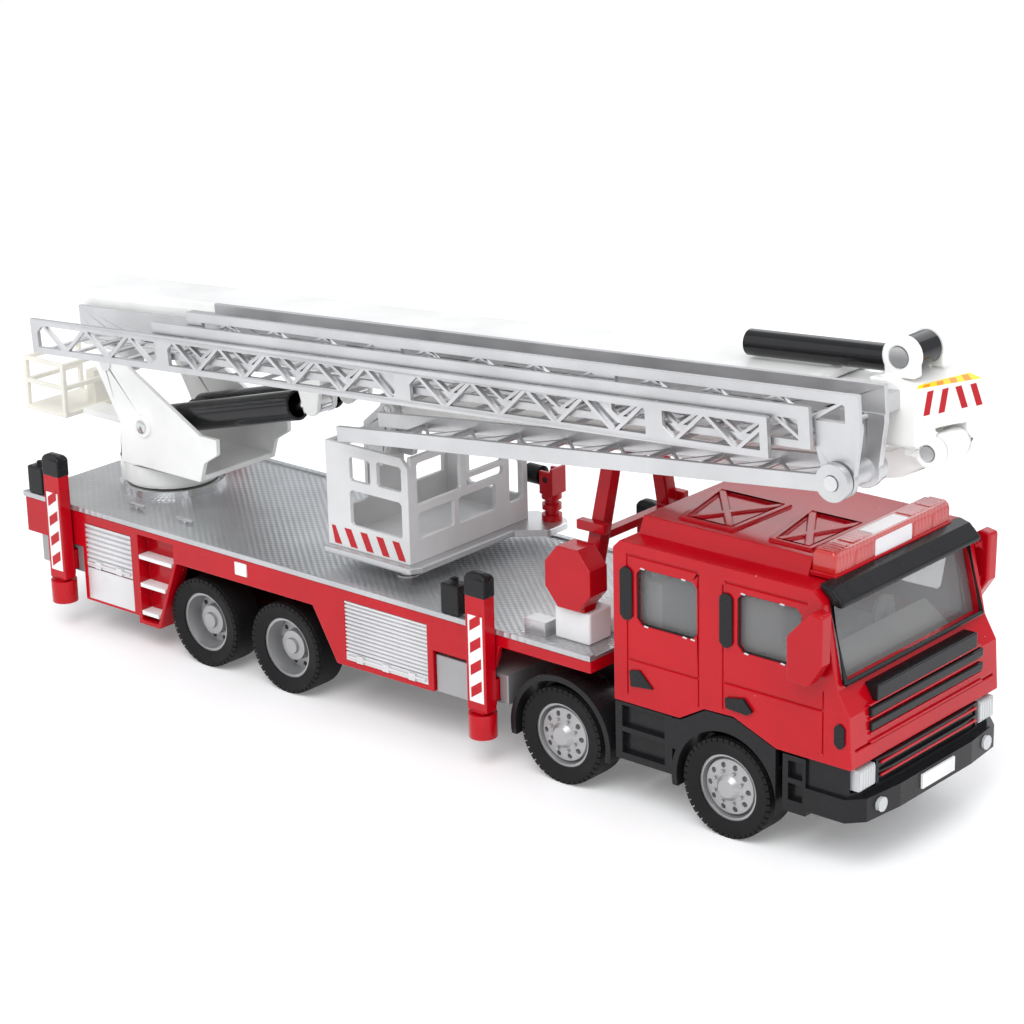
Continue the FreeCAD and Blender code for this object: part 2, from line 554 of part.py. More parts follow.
def hatch(near, far):
    """A roof hatch: a frame with a pressed cross in it."""
    (a, b), (c, d) = near, far
    low, high = -15.2, 2.8
    outer = [(a, low), (b, low), (d, high), (c, high)]
    inner = [(a + 1.2, low + 0.9), (b - 1.2, low + 0.9), (d - 1.2, high - 0.9), (c + 1.2, high - 0.9)]
    frame = prism(outer, "roof_rise - 0.5", "roof_rise", FLAT, [inner])
    arms = [prism([(a + 0.6, low + 1.2), (a + 2.0, low + 0.6), (d - 0.6, high - 1.2),
                   (d - 2.0, high - 0.6)],
                  "roof_rise - 0.5", "roof_rise - 0.05", FLAT),
            prism([(b - 2.0, low + 0.6), (b - 0.6, low + 1.2), (c + 2.0, high - 0.6),
                   (c + 0.6, high - 1.2)],
                  "roof_rise - 0.5", "roof_rise - 0.05", FLAT)]
    return [frame, *arms]


def cab_shell():
    """The red crew cab: a thin shell, open below, with windows, door lines, a raised roof and two hatches."""
    solid = prism(cab_profile(), "-cab_half", "cab_half")
    room = [("cab_rear + cab_wall", "10"), ("cab_nose - 1.9", "10"), ("cab_nose - 1.9", "31.2"),
            *cab_room(0)]
    hollow = prism(room, "-cab_half + cab_wall", "cab_half - cab_wall")
    side = [("-roof_half - 1.6", "cab_roof - 0.2"), ("roof_half + 1.6", "cab_roof - 0.2"),
            ("roof_half", "roof_rise - 0.5"), ("-roof_half", "roof_rise - 0.5")]
    roof = prism(side, "cab_rear + 2", "roof_front", FACING)
    plinth = box("roof_front - 0.1", "-18", "cab_roof - 0.2", "screen_top_x - 2.6", "18", "bar_low - 0.1")
    hatches = [*hatch((-17.5, -5.0), (-21.5, -4.5)), *hatch((3.0, 12.6), (-0.5, 13.0))]
    windows = [prism(outline_points, "-cab_half - 1", "-cab_half + 2") for outline_points in
               (pane(-20.4, 38.2, -6.3, 49.5, 1.2), pane(2.9, 38.4, 15.6, 49.8, 1.2, 1.5))]
    screen = prism([("-screen_half", "screen_foot_z + 0.9"), ("screen_half", "screen_foot_z + 0.9"),
                    ("screen_half - 0.4", "screen_top_z - 0.6"),
                    ("-screen_half + 0.4", "screen_top_z - 0.6")],
                   "screen_top_x - 5", "cab_nose + 1", FACING)
    rear_window = box("cab_rear - 1", "-14", "window_low + 1", "cab_rear + 2", "14", "window_high")
    lines = [(x, low, 0.4, high - low) for x, low, high in
             ((-22.8, 23.5, 51.8), (-6.1, 25.0, 51.2), (-0.5, 26.0, 50.6), (21.8, 23.0, 35.4))]
    lines += [(-22.4, 30.6, 16.3, 0.4), (-0.1, 31.4, 21.9, 0.4), (-22.4, 51.4, 16.3, 0.4),
              (-0.1, 51.0, 18.4, 0.4)]
    grooves = [box(x, "-cab_half - 1", z, x + wide, "-cab_half + 0.35", z + tall) for x, z, wide,
               tall in lines]
    front_lines = [box("cab_nose - 0.3", "-cab_half + 1.6", "24.6", "cab_nose + 1", "cab_half - 1.6",
                       "25.0")]
    shell = cut(solid, hollow, *both(*windows, *grooves), *front_lines, screen, rear_window)
    node("cab_shell", fuse(shell, roof, plinth, *hatches))


def cab_inside():
    """The clear glazing and the grey seats, dash and steering wheel behind it."""
    gap = 0.1
    outer = prism([("cab_rear + cab_wall + 0.1", "36"), *cab_room(gap)], "-cab_half + cab_wall + 0.1",
                  "cab_half - cab_wall - 0.1")
    inner = prism([("cab_rear + 3.4", "30"), ("screen_foot_x - 3.4", "30"),
                   ("screen_foot_x - 3.2", "window_low"),
                   ("screen_top_x - 3.2", "screen_top_z - 1"), ("screen_top_x - 4.8", "cab_roof - 2.6"),
                   ("cab_rear + 3.4", "cab_roof - 2.6")], "-cab_half + cab_wall + 0.1 + glass_thick",
                  "cab_half - cab_wall - 0.1 - glass_thick")
    node("cab_glazing", cut(outer, inner))
    tub = box("cab_rear + 3.8", "-19.5", "cab_floor_high + 0.2", "18", "19.5", "26.4")
    bench = box("cab_rear + 3.8", "-19", "26.4", "-12", "19", "33")
    bench_back = box("cab_rear + 3.8", "-19", "33", "-18.6", "19", "45")
    seats = []
    for y in ("-18", "5"):
        seats.append(box("-4", y, "26.4", "5", f"{y} + 13", "33"))
        seats.append(box("-4", y, "33", "-1", f"{y} + 13", "46"))
    dash = prism([("12.5", "26.4"), ("18", "26.4"), ("20.4", "34.6"), ("15", "38.6"), ("12.5", "37")],
                 "-19", "19")
    column = rod(("11.0", "11.5", "37"), ("13.0", "11.5", "37"), "0.8", "X")
    wheel = rod(("10.2", "11.5", "37"), ("11.0", "11.5", "37"), "3.4", "X")
    node("cab_interior", fuse(tub, bench, bench_back, *seats, dash, column, wheel))


def cab_outside():
    """Everything fixed to the outside of the cab."""
    bar = prism([("-18.6", "bar_low"), ("18.6", "bar_low"), ("18.2", "bar_high"), ("-18.2", "bar_high")],
                "roof_front + 0.6", "screen_top_x - 1.4", FACING)
    node("light_bar", bar)
    visor = prism([("screen_top_x + 0.15", "51.6"), ("24.4", "50.8"), ("24.9", "51.8"), ("22.2", "54.3"),
                   ("19.6", "55.0"), ("19.5", "54.1"), ("screen_top_x + 0.15", "52.1")], "-22.8", "22.8")
    node("sun_visor", visor)
    strips = [prism(pane(x, 38.7, x + 2.9, 49.2, 0.9), "-cab_half - 0.5", "-cab_half") for x in (-24.1,
                                                                                                 -0.9)]
    handles = [prism([(-22, 28.6), (-21.7, 25.4), (-16.4, 26.0), (-19.6, 29.1)], "-cab_half - 0.4",
                     "-cab_half"),
               prism([(0.5, 28.8), (0.7, 26.9), (5.6, 26.6), (6.7, 27.4), (4.6, 29.6)], "-cab_half - 0.7",
                     "-cab_half")]
    corner = prism(pane(24.6, 25.2, 26.8, 30.0, 0.8), "-cab_half - 0.4", "-cab_half")
    node("cab_trim", *both(*strips, *handles, corner))
    shield = [(16.8, 46.0), (22.2, 51.8), (24.6, 51.4), (24.4, 41.9), (21.4, 37.2), (16.9, 37.4)]
    arms = [box("21.0", "-26", z, "22.6", "-cab_half", f"{z} + 1.0") for z in ("41.5", "48.5")]
    arms = [cut(arm, prism([(20, 30), (30, 30), ("screen_foot_x - 0.2", "screen_foot_z"), (24, 40),
                            (24, 41), (30, 41)],
                           "-22", "-21")) for arm in arms]
    node("mirrors", *both(fuse(prism(shield, "-28.9", "-25.8"), *arms)))
    panel = box("24", "-16.6", "32.4", "28.3", "16.6", "35.4")
    slats = [box("26", "-18.6", z, "28.5", "18.6", f"{z} + 1.7") for z in ("30.0", "27.2")]
    nose = prism([("cab_nose + 0.6", "nose_low"), ("cab_nose", "31.5"), ("screen_foot_x", "screen_foot_z"),
                  ("20", "36"), ("20", "nose_low")], "-20", "20")
    node("grille", cut(panel, nose), *[cut(slat, copy_of_nose(nose)) for slat in slats])


def copy_of_nose(nose):
    """A link to the nose solid, so that several cuts can share it."""
    again = doc.addObject("Part::Compound", "Nose")
    again.Links = [nose]
    return again


def cab_lower():
    """The black lower mouldings: bumper, steps, skirts and mudguards, with the lamps and the plate."""
    face = [("18", "-23.6"), ("26.6", "-23.6"), ("28.2", "-21"), ("28.9", "-12"), ("28.9", "12"),
            ("28.2", "21"),
            ("26.6", "23.6"), ("18", "23.6")]
    lip = [("18", "-24.4"), ("26.8", "-24.4"), ("29.6", "-21.4"), ("30.6", "-12"), ("30.6", "12"),
           ("29.6", "21.4"),
           ("26.8", "24.4"), ("18", "24.4")]
    bumper = fuse(prism(face, "15", "nose_low - 0.15", FLAT), prism(lip, "10.8", "15.4", FLAT))
    lamps = both(box("26.2", "-23", "16.2", "32", "-17", "nose_low + 1"))
    fogs = both(rod(("28", "-17.6", "13.2"), ("33", "-17.6", "13.2"), "1.5", "X"))
    grooves = [box("28.2", "-16.2", z, "32", "16.2", f"{z} + 1.2") for z in ("16.4", "18.8")]
    sides = both(box("13", "-24.2", "9.6", "18.1", "-17", "nose_low - 0.5"))
    bites = both(box("14.2", "-25", "12", "17.4", "-23", "15.4"),
                 box("14.2", "-25", "16.4", "17.4", "-23", "19.8"))
    spaces = [rod((x, "-26", "axle_z"), (x, "26", "axle_z"), "tyre_radius + 1.4") for x in ("0", "axle_2")]
    front = cut(fuse(bumper, *sides), *lamps, *fogs, *grooves, *bites,
                box("10", "-10", "5", "chassis_front + 0.2", "10", "13"), spaces[0])
    pieces = []
    for side in (-1, 1):
        skirt = box("cab_rear", "-24.2", "9.6", "-12.4", "-18", "cab_low - 0.3")
        arch = prism([(-12.4, 21.2), (-10.3, "cab_low - 0.3"), (-4.6, "arch_top - 0.3"),
                      (2, "arch_top - 0.2"),
                      (11.5, "nose_low - 0.3"), (11.5, 15), (-12.4, 15)], "-24.2", "-22.9")
        guards = [rod((x, "-24.2", "axle_z"), (x, "-16.6", "axle_z"), "tyre_radius + 2.6")
                  for x in ("0", "axle_2")]
        below = box("-60", "-26", "-4", "20", "-10", "7.6")
        ahead = box("11.4", "-26", "-4", "20", "-10", "30")
        dents = [box("-24.4", "-25", z, "-14.2", "-23", f"{z} + 4.4") for z in ("11.0", "16.4")]
        moulding = cut(fuse(skirt, arch, *guards), *dents, below, ahead,
                       *[rod((x, "-26", "axle_z"), (x, "-12", "axle_z"), "tyre_radius + 1.4")
                         for x in ("0", "axle_2")])
        pieces.append(moulding if side < 0 else mirrored(moulding))
    node("front_bumper", front, *pieces)
    heads = box("26.4", "-22.4", "16.7", "28.5", "-17.4", "20.8")
    fog = rod(("28.2", "-17.6", "13.2"), ("30.6", "-17.6", "13.2"), "1.4", "X")
    node("lamps", *both(heads, fog))
    node("number_plate", box("30.65", "-5.4", "12.0", "31.1", "5.4", "14.8"))
    node("tail_lamps", *both(box("body_rear - 0.6", "-23.4", "20.8", "body_rear", "-19.8", "26.4")))


# ---- turntable and lift ----

def turntable():
    """The white pedestal on its bolt, with the pins of the boom and the lift cylinders, and the cage."""
    neck = rod(("turn_x", 0, "base_low"), ("turn_x", 0, "base_step"), "neck_radius", "Z")
    base = rod(("turn_x", 0, "base_step"), ("turn_x", 0, "base_high"), "base_radius", "Z")
    side = [("-152.4", "36.2"), ("-150.9", "40.8"), ("-146.7", "43.4"), ("-146.6", "47"), ("-151.9", "47"),
            ("pivot_x + 4.6", "pivot_z + 1.6"), ("pivot_x + 2", "pivot_z + 3.4"),
            ("pivot_x - 2", "pivot_z + 3.4"),
            ("pivot_x - 3.9", "pivot_z - 0.6"), ("-177.4", "45"), ("-178", "36.2")]
    plate = prism(side, "-plate_outer", "-plate_inner")
    boss = rod(("foot_pin_x", "-plate_outer - 0.8", "foot_pin_z"),
               ("foot_pin_x", "-plate_inner", "foot_pin_z"), "2.5")
    tray = box("-177", "-plate_inner - 0.1", "36.2", "-152.4", "plate_inner + 0.1", "37.4")
    back = box("-179", "-plate_inner - 0.1", "37.4", "-177.8", "plate_inner + 0.1", "43")
    ledge = box("-179", "-plate_inner - 0.1", "36.2", "-176.9", "plate_inner + 0.1", "37.5")
    bracket = box("-200.2", "-3", "41.2", "-178.5", "3", "42.6")
    holes = [rod((x, "-14", z), (x, "14", z), r) for x, z, r in (
        ("pivot_x", "pivot_z", "pivot_radius + bore_gap"), ("foot_pin_x", "foot_pin_z",
                                                            "foot_pin_radius + bore_gap"))]
    node("pedestal", cut(fuse(neck, base, *both(plate, boss), tray, back, ledge, bracket), *holes))
    bolt = fuse(rod(("turn_x", 0, "body_high - 1.4"), ("turn_x", 0, "base_low"), "bolt_radius", "Z"),
                rod(("turn_x", 0, "body_high - 3"), ("turn_x", 0, "body_high - 1.4"), "5", "Z"))
    pivot = rod(("pivot_x", "-plate_outer", "pivot_z"), ("pivot_x", "plate_outer", "pivot_z"),
                "pivot_radius")
    pin = rod(("foot_pin_x", "-plate_outer - 0.8", "foot_pin_z"),
              ("foot_pin_x", "plate_outer + 0.8", "foot_pin_z"),
              "foot_pin_radius")
    node("pivot_pins", bolt, pivot, pin)
    rear, front, near, far, low, high = "-214", "-200.2", "-8", "9", "41.2", "54"
    floor = box(rear, near, low, front, far, "42.2")
    posts = [box(x, y, "42.2", f"{x} + 1", f"{y} + 1", high) for x in (rear, "-201.2") for y in (near, "8")]
    rails = []
    for z in ("47.6", "53"):
        rails += [box(rear, near, z, "-213", far, f"{z} + 1"),
                  box("-201.2", near, z, front, far, f"{z} + 1"),
                  box(rear, near, z, front, "-7", f"{z} + 1")]
    console = box("-204", "2", "42.2", "-201.2", "7", "50")
    node("operator_cage", fuse(floor, *posts, *rails, console))


def lift_rams():
    """Two lift cylinders: barrels on the pedestal and rods on the boom's clevis."""
    run = (SIZES["ram_clevis_x"] - SIZES["foot_pin_x"], SIZES["ram_clevis_z"] - SIZES["foot_pin_z"])
    slope = math.degrees(math.atan2(run[1], run[0]))
    reach = math.hypot(*run)
    barrels, rods = [], []
    for y in ("-ram_y", "ram_y"):
        eye = rod(("0", f"{y} - ram_eye_half", "0"), ("0", f"{y} + ram_eye_half", "0"), "ram_eye")
        tube = rod(("1.5", y, "0"), ("ram_length", y, "0"), "ram_radius", "X")
        bore = rod(("6", y, "0"), ("ram_length + 1", y, "0"), "ram_bore", "X")
        hole = rod(("0", f"{y} - 5", "0"), ("0", f"{y} + 5", "0"), "foot_pin_radius + bore_gap")
        barrels.append(cut(fuse(eye, tube), bore, hole))
        tip = rod((f"{reach:.3f}", f"{y} - ram_eye_half", "0"),
                  (f"{reach:.3f}", f"{y} + ram_eye_half", "0"), "2.1")
        shaft = rod((f"{reach:.3f} - ram_rod_length", y, "0"), (f"{reach:.3f} - 1", y, "0"), "ram_rod", "X")
        hole = rod((f"{reach:.3f}", f"{y} - 5", "0"), (f"{reach:.3f}", f"{y} + 5", "0"),
                   "foot_pin_radius + bore_gap")
        rods.append(cut(fuse(tip, shaft), hole))
    for label, pieces in (("lift_barrels", barrels), ("lift_rods", rods)):
        part = at(node(label, *pieces), "front_axle_x + foot_pin_x", 0, "foot_pin_z")
        part.Placement.Rotation = FreeCAD.Rotation(FreeCAD.Vector(0, -1, 0), slope)


# ---- boom and ladders ----

def octagon(half, low, high, bevel):
    """A box section with bevelled edges."""
    return [(f"-{half}", f"{low} + {bevel}"), (f"-{half} + {bevel}", low), (f"{half} - {bevel}", low),
            (half, f"{low} + {bevel}"), (half, f"{high} - {bevel}"), (f"{half} - {bevel}", high),
            (f"-{half} + {bevel}", high), (f"-{half}", f"{high} - {bevel}")]


def ram_clevis_place():
    """The lift cylinders' clevis pin in the boom's frame."""
    across = SIZES["ram_clevis_x"] - SIZES["pivot_x"]
    above = SIZES["ram_clevis_z"] - SIZES["pivot_z"]
    pitch = math.radians(SIZES["boom_pitch"])
    return (across * math.cos(pitch) + above * math.sin(pitch),
            above * math.cos(pitch) - across * math.sin(pitch))


def boom_outer():
    """The white main boom: a bevelled box tube with pivot lugs and the lift clevis below."""
    tube = prism(octagon("boom_half", "boom_low", "boom_high", "boom_bevel"), "boom_rear", "boom_front",
                 FACING)
    hollow = box("boom_closed", "-boom_half + boom_wall", "boom_low + boom_wall", "boom_front + 1",
                 "boom_half - boom_wall", "boom_high - boom_wall")
    lug = fuse(rod((0, "-9.9", 0), (0, "-3", 0), "3.5"), box("-3.5", "-8", "0", "3.5", "-3",
                                                             "boom_low + 1"))
    u, v = ram_clevis_place()
    cheeks, pins = [], []
    for low, high in ((-8.6, -7.3), (-3.7, -2.4)):
        cheeks.append(fuse(rod((f"{u:.3f}", f"{low}", f"{v:.3f}"), (f"{u:.3f}", f"{high}", f"{v:.3f}"),
                               "2.3"),
                           prism([(f"{u - 2.3:.3f}", f"{v:.3f}"), (f"{u + 2.3:.3f}", f"{v:.3f}"),
                                  (f"{u + 4:.3f}", "boom_low + 0.5"), (f"{u - 4:.3f}", "boom_low + 0.5")],
                                 f"{low}", f"{high}")))
    pins.append(rod((f"{u:.3f}", "-8.6", f"{v:.3f}"), (f"{u:.3f}", "-2.4", f"{v:.3f}"), "foot_pin_radius"))
    plate = box(f"{u - 5:.3f}", "-7.5", "boom_low - 0.7", f"{u + 6:.3f}", "7.5", "boom_low + 0.4")
    bore = rod((0, "-12", 0), (0, "12", 0), "pivot_radius + bore_gap")
    brackets = [box(f"{x}", "far_1 - 0.3", "low_1 + 2", f"{x} + 5", "-boom_half + 0.2", "low_1 + 4.5")
                for x in (20, 100, 176)]
    shell = fuse(cut(tube, hollow), *both(lug), *both(*cheeks, *pins), plate)
    node("boom_outer", cut(fuse(shell, *[cut(piece, box("-20", "-30", "0", "220", "far_1", "30"))
                                        for piece in brackets]), bore), frame=BOOM)


def clipped(corners, low, high):
    """A flat polygon's part between two stations along the ladder."""
    for limit, sign in ((low, 1), (high, -1)):
        kept = []
        for number, (a, b) in enumerate(corners):
            before, level = corners[number - 1]
            inside, inside_before = sign * (a - limit) >= 0, sign * (before - limit) >= 0
            if inside != inside_before:
                share = (limit - before) / (a - before)
                kept.append((limit, level + (b - level) * share))
            if inside:
                kept.append((a, b))
        corners = kept
    return corners


def area(corners):
    """A flat polygon's area."""
    return abs(sum(corners[n - 1][0] * corners[n][1] - corners[n][0] * corners[n - 1][1]
                   for n in range(len(corners)))) / 2


def truss(number, groups, first, low_margin=1.4, high_margin=1.4):
    """The two rails of a ladder section: plates pierced by triangles between plain stretches."""
    rear, front, low, high = (f"{word}_{number}" for word in ("rear", "front", "low", "high"))
    foot, head = amount(low) + low_margin, amount(high) - high_margin
    half, bar = SIZES["cell"] / 2, SIZES["truss_bar"] / 2
    loops = []
    for start, end in groups:
        for cell in range(-2, 16):
            tip = first + cell * SIZES["cell"]
            down = [(tip, foot), (tip + half - bar, head), (tip - half + bar, head)]
            up = [(tip + bar, foot), (tip + 2 * half - bar, foot), (tip + half, head)]
            for triangle in (down, up):
                kept = clipped(triangle, start, end)
                if len(kept) > 2 and area(kept) > 3:
                    loops.append([(round(a, 3), round(b, 3)) for a, b in kept])
    outer = [(rear, low), (front, low), (front, high), (rear, high)]
    near = prism(outer, f"near_{number}", f"near_{number} + rail_thick", loops=loops)
    far = prism(outer, f"far_{number} - rail_thick", f"far_{number}")
    return near, far


def rungs(number, level, count):
    """The round rungs between the rails of a ladder section."""
    first, last = amount(f"rear_{number}") + 4, amount(f"front_{number}") - 4
    step = (last - first) / (count - 1)
    return [rod((f"{first + n * step:.3f}", f"near_{number} + 0.4", level),
                (f"{first + n * step:.3f}", f"far_{number} - 0.4", level),
                "rung_radius") for n in range(count)]


def ladder_sections():
    """Three nested ladder sections. The outer one is fixed to the boom, the inner one to the boom's head."""
    near, far = truss(1, ((-6.4, 32.2), (35.8, 101.2), (105.4, 163.9), (167.9, 189.6)), 2.4)
    node("ladder_section_1", fuse(near, far, *rungs(1, "low_1 + 0.8", 24)), frame=BOOM)
    near, far = truss(2, ((34.0, 96.0), (101.0, 150.0), (155.0, 197.0)), 2.4, 1.4, 2.4)
    node("ladder_section_2", fuse(near, far, *rungs(2, "low_2 + 0.8", 20)), frame=BOOM)
    near, far = truss(3, ((44.0, 96.0), (101.0, 150.0), (155.0, 206.0)), 2.4, 1.4, 2.0)
    forks = []
    for inner, outer in (("near_3", "near_3 + 1.4"), ("far_3 - 1.4", "far_3")):
        forks.append(prism([("knuckle_u - 3.2", "knuckle_v"), ("knuckle_u + 3.2", "knuckle_v"),
                            ("front_3", "low_3"), ("front_3", "low_3 + 1.4"),
                            ("knuckle_u - 4.6", "low_3 + 1.4"),
                            ("knuckle_u - 4.6", "low_3 - 3")], inner, outer))
        forks.append(rod(("knuckle_u", inner, "knuckle_v"), ("knuckle_u", outer, "knuckle_v"),
                         "knuckle_radius"))
    tube = rod(("knuckle_u", "near_3 + 1", "knuckle_v"), ("knuckle_u", "far_3 - 1", "knuckle_v"), "2.4")
    bore = rod(("knuckle_u", "near_3 - 4", "knuckle_v"), ("knuckle_u", "far_3 + 4", "knuckle_v"),
               "knuckle_pin + bore_gap")
    arm = box("front_3 - 3", "far_3 - 0.3", "low_3 + 1.2", "front_3 - 0.4", "-boom_half + 0.4",
              "low_3 + 4.6")
    section = cut(fuse(near, far, *rungs(3, "low_3 + 0.8", 20), *forks, tube), bore)
    head_clear = box("head_rear", "-boom_half", "0", "front_3 + 9", "2", "30")
    node("ladder_section_3", fuse(section, cut(arm, head_clear)), frame=BOOM)


def boom_inner():
    """The telescoping inner boom with its head, the pins and the black cylinder above."""
    bar = prism(octagon("inner_half", "inner_low", "inner_high", "1"), "inner_rear", "head_rear", FACING)
    node("boom_inner", bar, frame=BOOM)
    plan = [("head_rear", "-boom_half"), ("head_front", "-boom_half"), ("head_far_front", "boom_half"),
            ("head_rear", "boom_half")]
    block = prism(plan, "head_low", "head_high", FLAT)
    bevel = prism([("head_front - 6", "head_high + 0.1"), ("head_far_front + 2", "head_high + 0.1"),
                   ("head_far_front + 2", "head_high - 3.4")], "-boom_half - 1", "boom_half + 1")
    ears = []
    for low, high in (("-6.8", "-4.2"), ("4.2", "6.8")):
        ears.append(rod(("ear_u", low, "ear_v"), ("ear_u", high, "ear_v"), "ear_radius"))
        ears.append(box("head_front - 4", low, "ear_v - 1", "ear_u", high, "ear_v + ear_radius"))
    hole = rod(("ear_u", "-9", "ear_v"), ("ear_u", "9", "ear_v"), "knuckle_pin + bore_gap")
    throat = rod(("ear_u", "-3.8", "ear_v"), ("ear_u", "3.8", "ear_v"), "ear_radius + 1.0")
    mouth = box("head_rear + 2.6", "-3.8", "head_low - 1", "ear_u", "3.8", "ear_v + 1.5")
    horns = both(fuse(rod(("horn_u", "-6.2", "horn_v"), ("horn_u", "-3.4", "horn_v"), "horn_radius"),
                      box("horn_u - 3.2", "-6.2", "head_high - 0.3", "horn_u + 3.2", "-3.4", "horn_v")))
    top_hole = rod(("horn_u", "-9", "horn_v"), ("horn_u", "9", "horn_v"), "top_pin + 0.05")
    node("boom_head", cut(fuse(cut(block, bevel), *ears, *horns), hole, throat, mouth, top_hole),
         frame=BOOM)
    ram = rod(("170.4", 0, "top_v"), ("horn_u - 5.6", 0, "top_v"), "top_radius", "X")
    tip = fuse(box("horn_u - 5.8", "-1.6", "top_v - 1", "horn_u", "1.6", "horn_v + 1"),
               rod(("horn_u", "-3.0", "horn_v"), ("horn_u", "3.0", "horn_v"), "horn_radius - 0.5"))
    bush = rod(("horn_u", "-9", "horn_v"), ("horn_u", "9", "horn_v"), "top_pin + 0.05")
    node("top_cylinder", cut(fuse(ram, tip), bush), frame=BOOM)
    pins = [rod(("ear_u", "-6.8", "ear_v"), ("ear_u", "6.8", "ear_v"), "knuckle_pin"),
            rod(("knuckle_u", "jib_near - 0.3", "knuckle_v"), ("knuckle_u", "jib_far + 0.3", "knuckle_v"),
                "knuckle_pin"),
            rod(("horn_u", "-6.3", "horn_v"), ("horn_u", "6.3", "horn_v"), "top_pin")]
    node("head_pins", *pins, frame=BOOM)


# ---- jib and basket ----

def in_truck(u, v):
    """A point of the boom's frame, in the truck's."""
    pitch = math.radians(SIZES["boom_pitch"])
    return (SIZES["pivot_x"] + u * math.cos(pitch) - v * math.sin(pitch),
            SIZES["pivot_z"] + u * math.sin(pitch) + v * math.cos(pitch))


def jib():
    """The white jib arm folded back under the boom, and the silver ladder beside it on the knuckle."""
    x, z = in_truck(SIZES["ear_u"], SIZES["ear_v"])
    end = "basket_pin_x", "basket_pin_z"
    path = [("basket_pin_x", "basket_pin_z - arm_half"), (f"{x - 22:.3f}", "66.6"),
            (f"{x - 8:.3f}", "69.8"),
            (f"{x + 1.6:.3f}", f"{z - 2.0:.3f}"), (f"{x - 1.6:.3f}", f"{z + 1.8:.3f}"),
            (f"{x - 10:.3f}", "74.6"),
            (f"{x - 22:.3f}", "71.2"), ("basket_pin_x", "basket_pin_z + arm_half")]
    beam = prism(path, "-2.6", "2.6")
    eyes = [rod((end[0], "-3.2", end[1]), (end[0], "3.2", end[1]), "arm_radius"),
            rod((f"{x:.3f}", "-3.4", f"{z:.3f}"), (f"{x:.3f}", "3.4", f"{z:.3f}"), "ear_radius - 0.2")]
    trunnion = rod((end[0], "-5.6", end[1]), (end[0], "5.6", end[1]), "foot_pin_radius")
    bore = rod((f"{x:.3f}", "-9", f"{z:.3f}"), (f"{x:.3f}", "9", f"{z:.3f}"), "knuckle_pin + bore_gap")
    node("jib_arm", cut(fuse(beam, *eyes, trunnion), bore))
    x, z = in_truck(SIZES["knuckle_u"], SIZES["knuckle_v"])
    rail = [("-jib_length", "jib_low"), ("-4", "jib_low"), ("-4", "jib_high"), ("-jib_length", "jib_high")]
    near = prism(rail, "jib_near", "jib_near + 1.1")
    far = prism(rail, "jib_far - 1.1", "jib_far")
    cross = []
    count, pitch = 9, 12.6
    for number in range(count):
        back = -7.4 - number * pitch
        cross.append(rod((f"{back:.3f}", "jib_near + 0.4", "jib_low + 1"),
                         (f"{back:.3f}", "jib_far - 0.4", "jib_low + 1"),
                         "0.6"))
        if number < count - 1:
            for front, rear in ((back, back - pitch), (back - pitch, back)):
                cross.append(prism([(front - 0.4, "jib_near + 0.6"), (front + 0.4, "jib_near + 0.6"),
                                    (rear + 0.4, "jib_far - 0.6"), (rear - 0.4, "jib_far - 0.6")],
                                   "jib_low + 0.6", "jib_low + 1.3", FLAT))
    hubs = [rod((0, "jib_near", 0), (0, "jib_near + 1.7", 0), "knuckle_radius"),
            rod((0, "jib_far - 1.5", 0), (0, "jib_far", 0), "knuckle_radius - 0.4"),
            box("-6", "jib_near", "-1.7", "-1.6", "jib_near + 1.1", "1.4"),
            box("-6", "jib_far - 1.1", "-1.7", "-1.6", "jib_far", "1.4")]
    bore = rod((0, "jib_near - 5", 0), (0, "jib_far + 5", 0), "knuckle_pin + bore_gap")
    part = node("jib_ladder", cut(fuse(near, far, *cross, *hubs), bore))
    at(part, f"front_axle_x + {x:.4f}", 0, f"{z:.4f}")
    part.Placement.Rotation = FreeCAD.Rotation(FreeCAD.Vector(0, -1, 0), SIZES["jib_pitch"])
    part.setExpression(".Placement.Rotation.Angle", linked("jib_pitch"))


